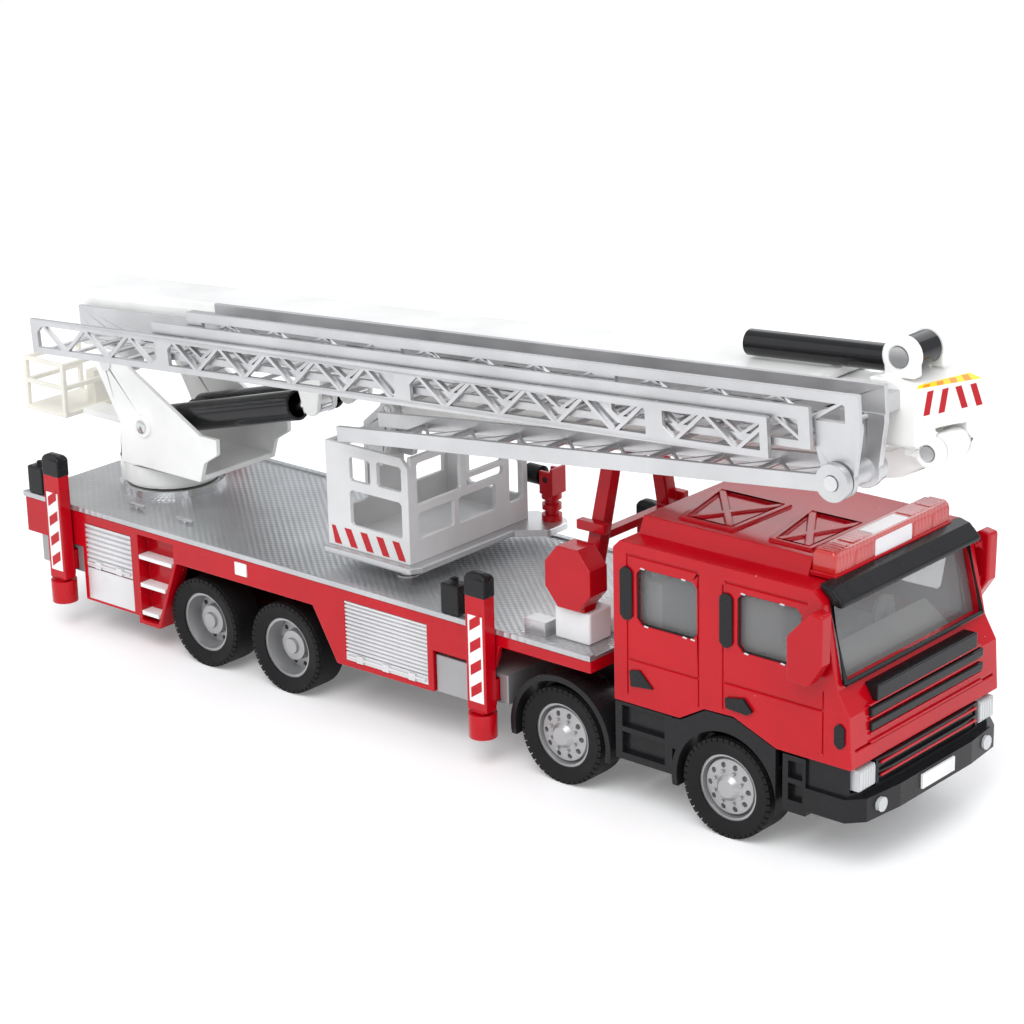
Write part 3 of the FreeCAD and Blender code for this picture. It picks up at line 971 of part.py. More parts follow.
def basket():
    """The rescue cage: a floor, pierced walls and a gate, on a silver rim, with the water monitor ahead."""
    rear, front, near, far = "basket_rear", "basket_front", "basket_near", "basket_far"
    low, high = "basket_low", "basket_high"
    block = box(rear, near, low, front, far, high)
    inside = box(f"{rear} + basket_wall", f"{near} + basket_wall", f"{low} + 1", f"{front} - basket_wall",
                 f"{far} - basket_wall", f"{high} + 1")
    end_openings = [prism(pane(-101.4, 38.6, -86.9, 46.3, 0.6), "-30", "30"),
                    prism(pane(-101.2, 48.4, -95.4, 53.5, 0.5), "-30", "30"),
                    prism(pane(-93.6, 48.6, -86.8, 53.9, 0.5), "-30", "30")]
    front_openings = []
    for near_y, far_y, base, top in ((-14.0, -3.2, 38.2, 43.8), (-1.8, 9.8, 38.2, 43.8),
                                     (-14.2, -0.9, 45.6, 54.4),
                                     (0.9, 12.2, 48.4, 54.4), (0.9, 12.2, 45.4, 47.2),
                                     (14.2, 18.4, 38.2, 54.4)):
        front_openings.append(prism(pane(near_y, base, far_y, top, 0.5), f"{front} - 3", f"{front} + 1",
                                    FACING))
    rear_openings = [box(f"{rear} - 1", low_y, "40.2", f"{rear} + 3", high_y, "53.6")
                     for low_y, high_y in (("-15", "-5.6"), ("5.6", "18"))]
    corner = prism([(f"{front} + 0.1", f"{high} + 0.1"), (f"{front} + 0.1", f"{high} - 2.2"),
                    (f"{front} - 2.0", f"{high} + 0.1")], "-30", f"{near} + basket_wall")
    lugs = []
    for y_low, y_high in (("-5.4", "-3.7"), ("3.7", "5.4")):
        lugs.append(fuse(rod(("basket_pin_x", y_low, "basket_pin_z"),
                             ("basket_pin_x", y_high, "basket_pin_z"), "2.2"),
                         prism([("basket_rear", f"{high} - 8"), ("-103", f"{high} - 8"),
                                ("basket_pin_x + 2.1", "basket_pin_z - 0.4"),
                                ("basket_pin_x - 2.1", "basket_pin_z + 0.6"),
                                ("basket_rear", f"{high} + 1")],
                               y_low, y_high)))
    hole = rod(("basket_pin_x", "-8", "basket_pin_z"), ("basket_pin_x", "8", "basket_pin_z"),
               "foot_pin_radius + bore_gap")
    cage = cut(block, inside, *end_openings, *front_openings, *rear_openings, corner)
    node("basket_cage", cut(fuse(cage, *lugs), hole))
    plan = [(f"{rear} - 0.2", f"{near} - rim_out"), (f"{front} + 1", f"{near} - rim_out"),
            (f"{front} + 2.4", f"{near} + 1"), (f"{front} + 2.4", "12"), (f"{front} + 8.4", "17"),
            (f"{front} + 8.4", "platform_far - 2"), (f"{front} + 6.4", "platform_far"),
            (f"{front} - 2", "platform_far"), (f"{front} - 5", f"{far} + rim_out"),
            (f"{rear} - 0.2", f"{far} + rim_out")]
    inner = [(f"{rear} + 2", f"{near} + 1.5"), (f"{front} - 2", f"{near} + 1.5"),
             (f"{front} - 2", f"{far} - 1.5"),
             (f"{rear} + 2", f"{far} - 1.5")]
    node("basket_rim", prism(plan, "rim_low", low, FLAT, [inner]))
    spot = ("monitor_x", "monitor_y")
    rings = [(low, "34.6", "2.2"), ("34.6", "38.4", "1.5"), ("35.8", "37.0", "2.1"),
             ("38.2", "39.6", "2.2")]
    column = [rod((*spot, base), (*spot, top), radius, "Z") for base, top, radius in rings]
    yoke = [box("monitor_x - 1.5", f"monitor_y + {y}", "39.4", "monitor_x + 2.1", f"monitor_y + {y} + 0.7",
                "monitor_z + 1.8") for y in ("-2.2", "1.5")]
    back = box("monitor_x + 1.4", "monitor_y - 2.2", "39.4", "monitor_x + 2.1", "monitor_y + 2.2", "45.2")
    reach = ("monitor_x", "monitor_y - 5", "monitor_z"), ("monitor_x", "monitor_y + 5", "monitor_z")
    node("monitor_body", cut(fuse(*column, *yoke, back), rod(*reach, "0.6 + bore_gap"),
                             box("monitor_x - 4", "monitor_y - 1.5", "39.7", "monitor_x + 1.4",
                                 "monitor_y + 1.5", "50")))
    trunnion = rod(("monitor_x", "monitor_y - 2.2", "monitor_z"),
                   ("monitor_x", "monitor_y + 2.2", "monitor_z"), "0.6")
    barrel = rod(("monitor_x - 2.6", "monitor_y", "monitor_z"),
                 ("monitor_x + 0.6", "monitor_y", "monitor_z"), "1.1",
                 "X")
    bell = rod(("monitor_x - 6.2", "monitor_y", "monitor_z"), ("monitor_x - 2.4", "monitor_y", "monitor_z"),
               "2.1",
               "X")
    mouth = rod(("monitor_x - 7", "monitor_y", "monitor_z"), ("monitor_x - 4.4", "monitor_y", "monitor_z"),
                "1.3",
                "X")
    node("monitor_nozzle", cut(fuse(trunnion, barrel, bell), mouth))


# ---- the whole toy ----

chassis_frame()
body_shell()
roller_shutters()
deck()
turntable_ring()
deck_equipment()
stabilisers()
wheels()
cab_shell()
cab_inside()
cab_outside()
cab_lower()
turntable()
lift_rams()
boom_outer()
ladder_sections()
boom_inner()
jib()
basket()
doc.recompute()

failed = [f"{item.Label} ({item.TypeId})" for item in doc.Objects if {"Invalid", "Error"} & set(item.State)]
if failed:
    raise SystemExit("failed to build: " + ", ".join(failed))
for part in NODES:
    if part.Shape.isNull() or not part.Shape.isValid() or not part.Shape.Solids:
        raise SystemExit(f"{part.Label} has no valid shape")
os.makedirs("parts", exist_ok=True)
for part in NODES:
    part.Shape.exportStep(f"parts/{part.Label}.step")
whole = FreeCAD.BoundBox()
for part in NODES:
    whole.add(part.Shape.BoundBox)
print(f"{len(NODES)} sub-parts, box {whole.XMin:.2f} {whole.YMin:.2f} {whole.ZMin:.2f}"
      f" to {whole.XMax:.2f} {whole.YMax:.2f} {whole.ZMax:.2f}")
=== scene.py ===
"""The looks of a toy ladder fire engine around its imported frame: finishes, markings, trim and light."""

import json
import math

import bpy
import bmesh
from mathutils import Matrix, Vector


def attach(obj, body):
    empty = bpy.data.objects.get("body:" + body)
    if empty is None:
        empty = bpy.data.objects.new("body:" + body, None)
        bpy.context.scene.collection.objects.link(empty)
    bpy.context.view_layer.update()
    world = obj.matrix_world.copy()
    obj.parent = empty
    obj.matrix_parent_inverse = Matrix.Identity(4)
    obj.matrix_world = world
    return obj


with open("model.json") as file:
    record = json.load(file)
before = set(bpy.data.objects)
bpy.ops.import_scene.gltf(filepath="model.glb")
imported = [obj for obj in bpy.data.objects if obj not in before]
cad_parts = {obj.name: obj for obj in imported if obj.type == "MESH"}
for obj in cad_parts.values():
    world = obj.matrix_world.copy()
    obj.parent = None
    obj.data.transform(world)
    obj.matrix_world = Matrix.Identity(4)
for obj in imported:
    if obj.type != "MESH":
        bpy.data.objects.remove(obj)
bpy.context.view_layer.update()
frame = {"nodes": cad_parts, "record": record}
MM = 0.001
NODES = frame["nodes"]
RECORD = frame["record"]


# ---- places ----
# Places are in millimetres from the front axle: X forwards, Y to the left, Z up. Boom places run along it.

def extent(name, axis):
    """The lowest and highest coordinate of a CAD node along an axis, in millimetres."""
    values = [(NODES[name].matrix_world @ vertex.co)[axis] / MM for vertex in NODES[name].data.vertices]
    return min(values), max(values)


FRONT_AXLE = sum(extent("tyres_1", 0)) / 2
AXLES = [sum(extent(f"tyres_{number}", 0)) / 2 - FRONT_AXLE for number in range(1, 5)]
AXLE_HIGH, TYRE_RADIUS = 10.0, 10.0
PIVOT_X, PIVOT_Z, PITCH = -181.0, 58.5, math.radians(4)
CAB_HALF = 24.5
LEGS = {"front": -57.5, "rear": -182.4}
SIDES = {"right": -1, "left": 1}


def truck(x, y, z):
    """A place in the truck's frame."""
    return Vector((x + FRONT_AXLE, y, z)) * MM


def boom(u, y, v):
    """A place along the boom: u from its pivot, v above its pivot line."""
    return truck(PIVOT_X + u * math.cos(PITCH) - v * math.sin(PITCH), y,
                 PIVOT_Z + u * math.sin(PITCH) + v * math.cos(PITCH))


# ---- finishes ----

class Finish:
    """A procedural material: a principled shader with noise for colour, gloss and surface."""

    def __init__(self, name, colour, rough, metal=0.0, coat=0.0, clear=0.0, alpha=1.0, specular=0.5):
        self.material = bpy.data.materials.new(name)
        self.material.use_nodes = True
        self.tree = self.material.node_tree
        self.shader = self.tree.nodes["Principled BSDF"]
        self.colour, self.rough = colour, rough
        settings = {"Metallic": metal, "Coat Weight": coat, "Coat Roughness": 0.06,
                    "Transmission Weight": clear,
                    "Alpha": alpha, "Specular IOR Level": specular}
        for socket, value in settings.items():
            self.shader.inputs[socket].default_value = value
        self.place = self.node("ShaderNodeTexCoord").outputs["Object"]
        self.height = None

    def node(self, kind, **inputs):
        """A new node, with plain values set on its sockets."""
        made = self.tree.nodes.new(kind)
        for name, value in inputs.items():
            made.inputs[name].default_value = value
        return made

    def noise(self, scale, detail=3.0, stretch=(1, 1, 1)):
        """Noise over the surface: scale is in features per millimetre."""
        mapping = self.node("ShaderNodeMapping", Scale=stretch)
        self.tree.links.new(self.place, mapping.inputs["Vector"])
        made = self.node("ShaderNodeTexNoise", Scale=scale / MM, Detail=detail, Roughness=0.55)
        self.tree.links.new(mapping.outputs["Vector"], made.inputs["Vector"])
        return made.outputs["Fac"]

    def ramp(self, source, low, high, first, second):
        """Carry a value between two levels to two colours."""
        made = self.node("ShaderNodeValToRGB")
        made.color_ramp.elements[0].position = low
        made.color_ramp.elements[1].position = high
        made.color_ramp.elements[0].color = (*first, 1)
        made.color_ramp.elements[1].color = (*second, 1)
        self.tree.links.new(source, made.inputs["Fac"])
        return made.outputs["Color"]

    def maths(self, operation, first, second=None):
        """A math node on two values or outputs."""
        made = self.node("ShaderNodeMath")
        made.operation = operation
        for socket, value in zip(made.inputs, (first, second)):
            if isinstance(value, (int, float)):
                socket.default_value = value
            elif value is not None:
                self.tree.links.new(value, socket)
        return made.outputs["Value"]

    def mix(self, share, first, second):
        """Mix two colours by a share."""
        made = self.tree.nodes.new("ShaderNodeMix")
        made.data_type = "RGBA"
        self.tree.links.new(share, made.inputs["Factor"])
        for socket, value in ((made.inputs["A"], first), (made.inputs["B"], second)):
            if isinstance(value, tuple):
                socket.default_value = (*value, 1)
            else:
                self.tree.links.new(value, socket)
        return made.outputs["Result"]

    def paint(self, vary=0.08, grime=0.15, chips=None, chip_share=0.02):
        """Colour with slow variation, dust in patches and, with a chip colour, small bare specks."""
        darker = tuple(value * (1 - vary) for value in self.colour)
        lighter = tuple(min(1.0, value * (1 + vary)) for value in self.colour)
        colour = self.ramp(self.noise(0.05), 0.35, 0.65, darker, lighter)
        dust = self.ramp(self.noise(0.4, 5.0), 0.55, 0.8, (0, 0, 0), (grime, grime, grime))
        colour = self.mix(dust, colour, tuple(value * 0.55 + 0.12 for value in self.colour))
        rough = self.maths("ADD", self.maths("MULTIPLY", self.noise(0.25, 4.0), 0.5 * self.rough + 0.06),
                           0.72 * self.rough)
        if chips:
            bare = 0.80 - chip_share
            speck = self.ramp(self.noise(1.1, 2.0), bare, bare + 0.01, (0, 0, 0), (1, 1, 1))
            colour = self.mix(speck, colour, chips)
        self.tree.links.new(colour, self.shader.inputs["Base Color"])
        self.tree.links.new(rough, self.shader.inputs["Roughness"])
        return self

    def grain(self, scale, strength, depth=0.03, stretch=(1, 1, 1)):
        """A fine moulded or cast surface."""
        return self.bump(self.noise(scale, 4.0, stretch), strength, depth)

    def bump(self, height, strength, depth):
        """Raise the surface by a height, depth millimetres at most."""
        made = self.node("ShaderNodeBump", Strength=strength, Distance=depth * MM)
        self.tree.links.new(height, made.inputs["Height"])
        if self.height is not None:
            self.tree.links.new(self.height, made.inputs["Normal"])
        self.height = made.outputs["Normal"]
        self.tree.links.new(self.height, self.shader.inputs["Normal"])
        return self

    def bands(self, pitch, turn=0.0, axis="X"):
        """Parallel waves of a pitch in millimetres, turned about the vertical."""
        mapping = self.node("ShaderNodeMapping", Rotation=(0, 0, turn))
        self.tree.links.new(self.place, mapping.inputs["Vector"])
        made = self.node("ShaderNodeTexWave", Scale=math.pi / 10 / (pitch * MM))
        made.bands_direction = axis
        self.tree.links.new(mapping.outputs["Vector"], made.inputs["Vector"])
        return made.outputs["Fac"]


def tread_plate():
    """Silver deck with a fine diamond pattern."""
    made = Finish("tread plate", (0.50, 0.51, 0.52), 0.30, metal=0.75)
    made.paint(vary=0.10, grime=0.25)
    diamonds = made.maths("MULTIPLY", made.bands(1.25, math.radians(50)),
                          made.bands(1.25, math.radians(-50)))
    made.bump(diamonds, 0.9, 0.10)
    return made.grain(2.5, 0.25).material


def silver(name, tone, rough, metal=0.85, scale=1.6):
    """Satin silver paint with a light cast texture."""
    made = Finish(name, (tone, tone, tone * 1.01), rough, metal=metal)
    return made.paint(vary=0.07, grime=0.18).grain(scale, 0.25, 0.04).material


def enamel(name, colour, rough=0.16, chips=None):
    """Glossy enamel over die-cast metal, with a slight orange-peel surface."""
    made = Finish(name, colour, rough, coat=0.2, specular=0.2)
    return made.paint(vary=0.07, grime=0.0, chips=chips, chip_share=0.015).grain(0.5, 0.30, 0.05).material


def moulding(name, colour, rough, coat=0.0, grain=0.25):
    """Injection-moulded plastic with a fine grain."""
    made = Finish(name, colour, rough, coat=coat, specular=0.18)
    return made.paint(vary=0.08, grime=0.03).grain(3.0, grain, 0.02).material


def glazing(name, colour, rough, alpha, clear=0.0):
    """Clear plastic with faint scratches."""
    made = Finish(name, colour, rough, coat=0.6, clear=clear, alpha=alpha)
    return made.paint(vary=0.04, grime=0.03).grain(0.4, 0.05, 0.02, (1, 1, 4)).material


def lens(name, colour):
    """A coloured lamp lens with moulded flutes."""
    made = Finish(name, colour, 0.12, coat=0.8, clear=0.35)
    made.paint(vary=0.12, grime=0.04)
    return made.bump(made.bands(1.1, math.radians(90)), 0.35, 0.15).material


def chrome(name, tone, rough):
    """Bright metal with fine turning marks."""
    made = Finish(name, (tone, tone, tone), rough, metal=1.0)
    return made.paint(vary=0.04, grime=0.06).grain(2.2, 0.12, 0.02).material


FINISHES = {
    "red_paint": enamel("red enamel", (0.45, 0.0015, 0.008), chips=(0.60, 0.58, 0.56)),
    "red_plastic": enamel("red moulding", (0.44, 0.0015, 0.008), 0.2),
    "white_paint": enamel("white enamel", (0.86, 0.86, 0.84), 0.3),
    "white_plastic": moulding("white moulding", (0.80, 0.80, 0.80), 0.35),
    "pale_plastic": moulding("pale moulding", (0.78, 0.76, 0.68), 0.45),
    "grey_plastic": moulding("grey moulding", (0.16, 0.17, 0.175), 0.5),
    "silver_plastic": silver("silver moulding", 0.62, 0.30),
    "silver_slats": silver("silver slats", 0.68, 0.32),
    "tread_plate": tread_plate(),
    "ladder_silver": silver("ladder silver", 0.56, 0.34, metal=0.8),
    "rim_silver": silver("rim silver", 0.40, 0.36, metal=0.7),
    "grey_metal": silver("grey casting", 0.36, 0.42, metal=0.6),
    "black_frame": moulding("black frame", (0.012, 0.012, 0.013), 0.42),
    "black_plastic": moulding("black moulding", (0.010, 0.010, 0.011), 0.26, coat=0.12),
    "black_metal": moulding("black enamel", (0.008, 0.008, 0.009), 0.14, coat=0.35, grain=0.12),
    "bright_chrome": chrome("chrome", 0.80, 0.10),
    "steel": chrome("steel", 0.62, 0.22),
    "tyre_rubber": moulding("tyre rubber", (0.008, 0.008, 0.0085), 0.55, grain=0.6),
    "clear_glazing": glazing("smoked glazing", (0.30, 0.31, 0.315), 0.05, 0.30),
    "clear_lens": glazing("clear lens", (0.80, 0.82, 0.83), 0.10, 1.0, clear=0.4),
    "red_lens": lens("red lens", (0.70, 0.012, 0.008)),
}
ORANGE = moulding("orange marking", (0.90, 0.30, 0.02), 0.3)
YELLOW = moulding("yellow marking", (0.92, 0.72, 0.02), 0.3)
WHITE_LENS = glazing("white lens", (0.86, 0.84, 0.86), 0.15, 1.0, clear=0.15)
STONE = moulding("pale cage", (0.62, 0.62, 0.62), 0.35)
INTERIOR = moulding("cab interior", (0.40, 0.39, 0.36), 0.5)
for part in RECORD["subparts"]:
    node = NODES[part["node"]]
    node.data.materials.clear()
    node.data.materials.append(FINISHES[part["material_slot"]])


# ---- mesh pieces ----

class Piece:
    """A mesh built from blocks, prisms and turned shapes, in places given by a frame function."""

    def __init__(self, name, body, slot, frame_of=truck, material=None):
        self.name, self.body, self.slot, self.frame_of = name, body, slot, frame_of
        self.material = material or FINISHES[slot]
        self.shape = bmesh.new()

    def loft(self, rings, closed=True):
        """Join rings of places into a skin, with a lid at each end."""
        made = [[self.shape.verts.new(self.frame_of(*place)) for place in ring] for ring in rings]
        for first, second in zip(made, made[1:]):
            for number in range(len(first)):
                after = (number + 1) % len(first)
                self.shape.faces.new((first[number], first[after], second[after], second[number]))
        if closed:
            self.shape.faces.new(made[0])
            self.shape.faces.new(made[-1])
        return self

    def block(self, low, high):
        """A block between two corners."""
        (x, y, z), (x2, y2, z2) = low, high
        return self.loft([[(x, y, level), (x2, y, level), (x2, y2, level), (x, y2, level)]
                          for level in (z, z2)])

    def plate(self, corners, low, high, axis="Y"):
        """A flat outline pushed out along Y, X or Z."""
        orders = {"Y": lambda a, b, c: (a, c, b),
                  "X": lambda a, b, c: (c, a, b),
                  "Z": lambda a, b, c: (a, b, c)}
        order = orders[axis]
        return self.loft([[order(a, b, level) for a, b in corners] for level in (low, high)])

    def turned(self, centre, profile, axis="Y", count=32):
        """A shape turned about an axis: the profile gives (distance along, radius)."""
        rings = []
        for along, radius in profile:
            ring = []
            for number in range(count):
                angle = 2 * math.pi * number / count
                a, b = radius * math.cos(angle), radius * math.sin(angle)
                offset = {"X": (along, a, b), "Y": (a, along, b), "Z": (a, b, along)}[axis]
                ring.append(tuple(start + step for start, step in zip(centre, offset)))
            rings.append(ring)
        return self.loft(rings)

    def tube(self, path, radius, count=10):
        """A round bar along a path."""
        points = [Vector(place) for place in path]
        rings = []
        for number, point in enumerate(points):
            ahead = points[min(number + 1, len(points) - 1)] - points[max(number - 1, 0)]
            ahead.normalize()
            steep = abs(ahead.z) >= 0.9
            across = ahead.cross(Vector((0, 1, 0)) if steep else Vector((0, 0, 1))).normalized()
            up = ahead.cross(across)
            turns = [2 * math.pi * step / count for step in range(count)]
            rings.append([tuple(point + (across * math.cos(angle) + up * math.sin(angle)) * radius)
                          for angle in turns])
        return self.loft(rings)

    def done(self, bevel=0.0, segments=2, angle=30):
        """Finish the mesh, smooth its round faces and hand it to its body."""
        bmesh.ops.recalc_face_normals(self.shape, faces=self.shape.faces)
        mesh = bpy.data.meshes.new(self.name)
        self.shape.to_mesh(mesh)
        self.shape.free()
        mesh.materials.append(self.material)
        made = bpy.data.objects.new(self.name, mesh)
        bpy.context.scene.collection.objects.link(made)
        mesh.shade_smooth()
        mesh.set_sharp_from_angle(angle=math.radians(angle))
        if bevel:
            soften(made, bevel, segments, angle)
        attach(made, self.body)
        return made


def soften(target, width, segments=2, angle=30, clamp=False):
    """Round an object's edges."""
    made = target.modifiers.new("Bevel", "BEVEL")
    made.width, made.segments = width * MM, segments
    made.limit_method = "ANGLE"
    made.angle_limit = math.radians(angle)
    made.use_clamp_overlap = clamp


def soften_casting(name, width, segments=2):
    """Round the edges of a CAD node, once its faces are joined."""
    node = NODES[name]
    weld = node.modifiers.new("Weld", "WELD")
    weld.merge_threshold = 0.002 * MM
    soften(node, width, segments, 40, name in CROWDED)


def both_sides(build):
    """Run a builder for the right side and for the left."""
    for side, sign in SIDES.items():
        build(side, sign)


# ---- castings with soft edges ----

CROWDED = ("front_bumper", "pump_cover", "foot_front_right", "foot_front_left", "foot_rear_right",
           "foot_rear_left")
SOFT = {"cab_shell": 0.18, "body_shell": 0.22, "mirrors": 0.55, "sun_visor": 0.6, "light_bar": 0.5,
        "front_bumper": 0.25, "pump_cover": 0.6, "pump_block": 0.5, "control_boxes": 0.4, "boom_outer": 0.3,
        "boom_head": 0.5, "pedestal": 0.25, "ladder_rest": 0.3, "grille": 0.25, "basket_cage": 0.16,
        "operator_cage": 0.2, "ladder_section_1": 0.12, "ladder_section_3": 0.12, "deck_fittings": 0.12,
        "stabiliser_housings": 0.2, "cab_trim": 0.14, "basket_rim": 0.4, "jib_ladder": 0.1,
        "jib_arm": 0.3, "deck_plate": 0.12}
for name in ("front_right", "front_left", "rear_right", "rear_left"):
    SOFT[f"stabiliser_{name}"] = 0.4
    SOFT[f"foot_{name}"] = 0.3
for name, width in SOFT.items():
    soften_casting(name, width, 3 if width > 0.4 else 2)


# ---- stabiliser legs ----

def leg_trim(end, x):
    """The black cap and the striped label on each leg of one end."""
    def build(side, sign):
        body = f"beam_{end}_{side}"
        inner, outer = 25.35 * sign, 28.6 * sign
        cap = Piece(f"leg_cap_{end}_{side}", body, "black_plastic")
        levels = ((36.2, 2.62, 0.0), (40.1, 2.62, 0.0), (40.8, 2.2, 0.45), (41.1, 1.4, 1.0))
        cap.loft([[(x - half, inner + inset * sign, z), (x + half, inner + inset * sign, z),
                   (x + half, outer - inset * sign, z), (x - half, outer - inset * sign, z)]
                  for z, half, inset in levels])
        cap.done(0.25)
        label = Piece(f"leg_label_{end}_{side}", body, "white_plastic")
        face = 28.5 * sign
        label.block((x - 1.85, face, 14.2), (x + 1.85, face + 0.06 * sign, 32.4)).done()
        stripes = Piece(f"leg_stripes_{end}_{side}", body, "red_plastic")
        pitch, tall, slant = 4.7, 2.2, 1.9
        for number in range(4):
            base = 14.9 + number * pitch
            near, far = x - 1.4, x + 1.4
            corners = [(near, base), (far, base + slant), (far, base + slant + tall), (near, base + tall)]
            stripes.plate(corners, face + 0.05 * sign, face + 0.1 * sign)
        stripes.done()
    return build


for end, x in LEGS.items():
    both_sides(leg_trim(end, x))


# ---- cab ----

def window_trim(side, sign):
    """Black rubbers in the side windows, and the bright chips along their edges."""
    windows = (((-20.4, 38.2), (-6.3, 49.5), 0.0), ((2.9, 38.4), (15.6, 49.8), 1.5))
    rubber = Piece(f"window_rubbers_{side}", "truck", "black_plastic")
    chips = Piece(f"window_chips_{side}", "truck", "silver_plastic")
    y = (CAB_HALF - 0.55) * sign
    for (rear, low), (front, high), lean in windows:
        cut = 1.2
        corners = [(rear + cut, low), (front - cut, low), (front, low + cut), (front + lean, high - cut),
                   (front + lean - cut, high), (rear + cut, high), (rear, high - cut), (rear, low + cut)]
        path = [(a, y, b) for a, b in corners]
        rubber.tube([*path, path[0]], 0.28)
        for share, level in ((0.1, high), (0.78, high), (0.16, low), (0.8, low), (0.93, low)):
            x = rear + (front - rear) * share
            flake = [(x - 0.55, level - 0.1), (x + 0.4, level - 0.22),
                     (x + 0.6, level + 0.08), (x - 0.3, level + 0.2)]
            chips.plate(flake, CAB_HALF * sign, (CAB_HALF + 0.05) * sign)
    rubber.done()
    chips.done()


both_sides(window_trim)


def windscreen():
    """The black rubber round the windscreen."""
    (foot_x, foot_z), (top_x, top_z) = (25.35, 36.9), (21.75, 51.6)
    foot_half, top_half = 22.5, 22.2
    path = [(foot_x, -foot_half, foot_z), (foot_x, foot_half, foot_z), (top_x, top_half, top_z),
            (top_x, -top_half, top_z), (foot_x, -foot_half, foot_z)]
    Piece("screen_rubber", "truck", "black_plastic").tube(path, 0.5).done()


windscreen()


def light_bar():
    """The roof lights: red blocks with domed lamps at each end and a white block between them."""
    skin, gap = 0.15, 0.1
    rear, front = extent("light_bar", 0)
    low, high = extent("light_bar", 2)
    half = extent("light_bar", 1)[1] + skin
    rear, front = rear - FRONT_AXLE - skin, front - FRONT_AXLE + skin
    limits = [share * half for share in (-1.0, -0.67, -0.33, 0.33, 0.67, 1.0)]
    for number, (near, far) in enumerate(zip(limits, limits[1:]), start=1):
        middle = number == 3
        piece = Piece(f"roof_light_{number}", "truck", "clear_lens" if middle else "red_lens",
                      material=WHITE_LENS if middle else None)
        rings = []
        for level, inset in ((low - 0.1, 0.0), (low + 2.6, 0.0), (high - 0.5, 0.25), (high + skin, 0.9)):
            left, right = near + gap + 0.3 * inset, far - gap - 0.3 * inset
            rings.append([(rear + inset, left, level), (front - inset, left, level),
                          (front - inset, right, level), (rear + inset, right, level)])
        piece.loft(rings).done(0.35, 3)
    base = Piece("roof_light_base", "truck", "red_paint")
    base.block((rear - 0.2, -half - 0.2, low - 0.9), (front + 0.2, half + 0.2, low + 0.1)).done(0.2)


light_bar()


def front_details():
    """Red edges between the grille's slats, and the headlamps' ribbed glasses."""
    edges = Piece("grille_edges", "truck", "red_paint")
    for z in (24.9, 26.5, 29.3, 31.9):
        x = 28.45 - 0.06 * (z - 24)
        edges.plate([(x - 1.2, z), (x, z), (x, z + 0.45), (x - 1.2, z + 0.45)], -18.6, 18.6)
    edges.done(0.08)
    lower = Piece("bumper_edges", "truck", "red_paint")
    for z in (17.7, 20.2):
        lower.block((28.7, -16, z), (29.05, 16, z + 0.5))
    lower.done(0.08)

    def lamp(side, sign):
        glass = Piece(f"headlamp_{side}", "truck", "clear_lens")
        x, near, far = extent("lamps", 0)[1] - FRONT_AXLE - 2.1, 17.5 * sign, 22.3 * sign
        glass.block((x, near, 16.9), (x + 0.25, far, 20.6)).done(0.2)
        ribs = Piece(f"headlamp_ribs_{side}", "truck", "silver_plastic")
        for number in range(6):
            y = near + (far - near) * (number + 0.5) / 6
            ribs.block((x + 0.2, y - 0.12, 17.1), (x + 0.32, y + 0.12, 20.4))
        ribs.done(0.04)

    both_sides(lamp)


front_details()


# ---- wheels ----

def wheel_details(number, x):
    """Tread lugs on both shoulders of each tyre, and the nuts round each hub."""
    lugs = Piece(f"tread_{number}", f"axle_{number}", "tyre_rubber")
    nuts = Piece(f"wheel_nuts_{number}", f"axle_{number}", "rim_silver")
    lug_count = 44
    half_lug = 0.40 * 2 * math.pi / lug_count
    section = ((TYRE_RADIUS - 1.0, 0.83), (TYRE_RADIUS - 0.05, 0.7),
               (TYRE_RADIUS - 0.02, -1.3), (TYRE_RADIUS - 0.8, -1.3))
    nut_count, ring, face = (8, 3.3, 23.55) if number < 3 else (6, 2.0, 21.3)
    for sign in (-1, 1):
        for edge, inward in ((23.15, 1), (17.05, -1)):
            for step in range(lug_count):
                angle = 2 * math.pi * step / lug_count
                lugs.loft([[(x + radius * math.cos(turn), (edge + deep * inward) * sign,
                             AXLE_HIGH + radius * math.sin(turn)) for radius, deep in section]
                           for turn in (angle - half_lug, angle + half_lug)])
        for step in range(nut_count):
            angle = 2 * math.pi * (step + 0.5) / nut_count
            centre = (x + ring * math.cos(angle), face * sign, AXLE_HIGH + ring * math.sin(angle))
            nuts.turned(centre, [(-0.3 * sign, 0.36), (0.1 * sign, 0.36), (0.22 * sign, 0.22)], "Y", 6)
    lugs.done()
    nuts.done()


for number, x in enumerate(AXLES, start=1):
    wheel_details(number, x)


# ---- boom ----

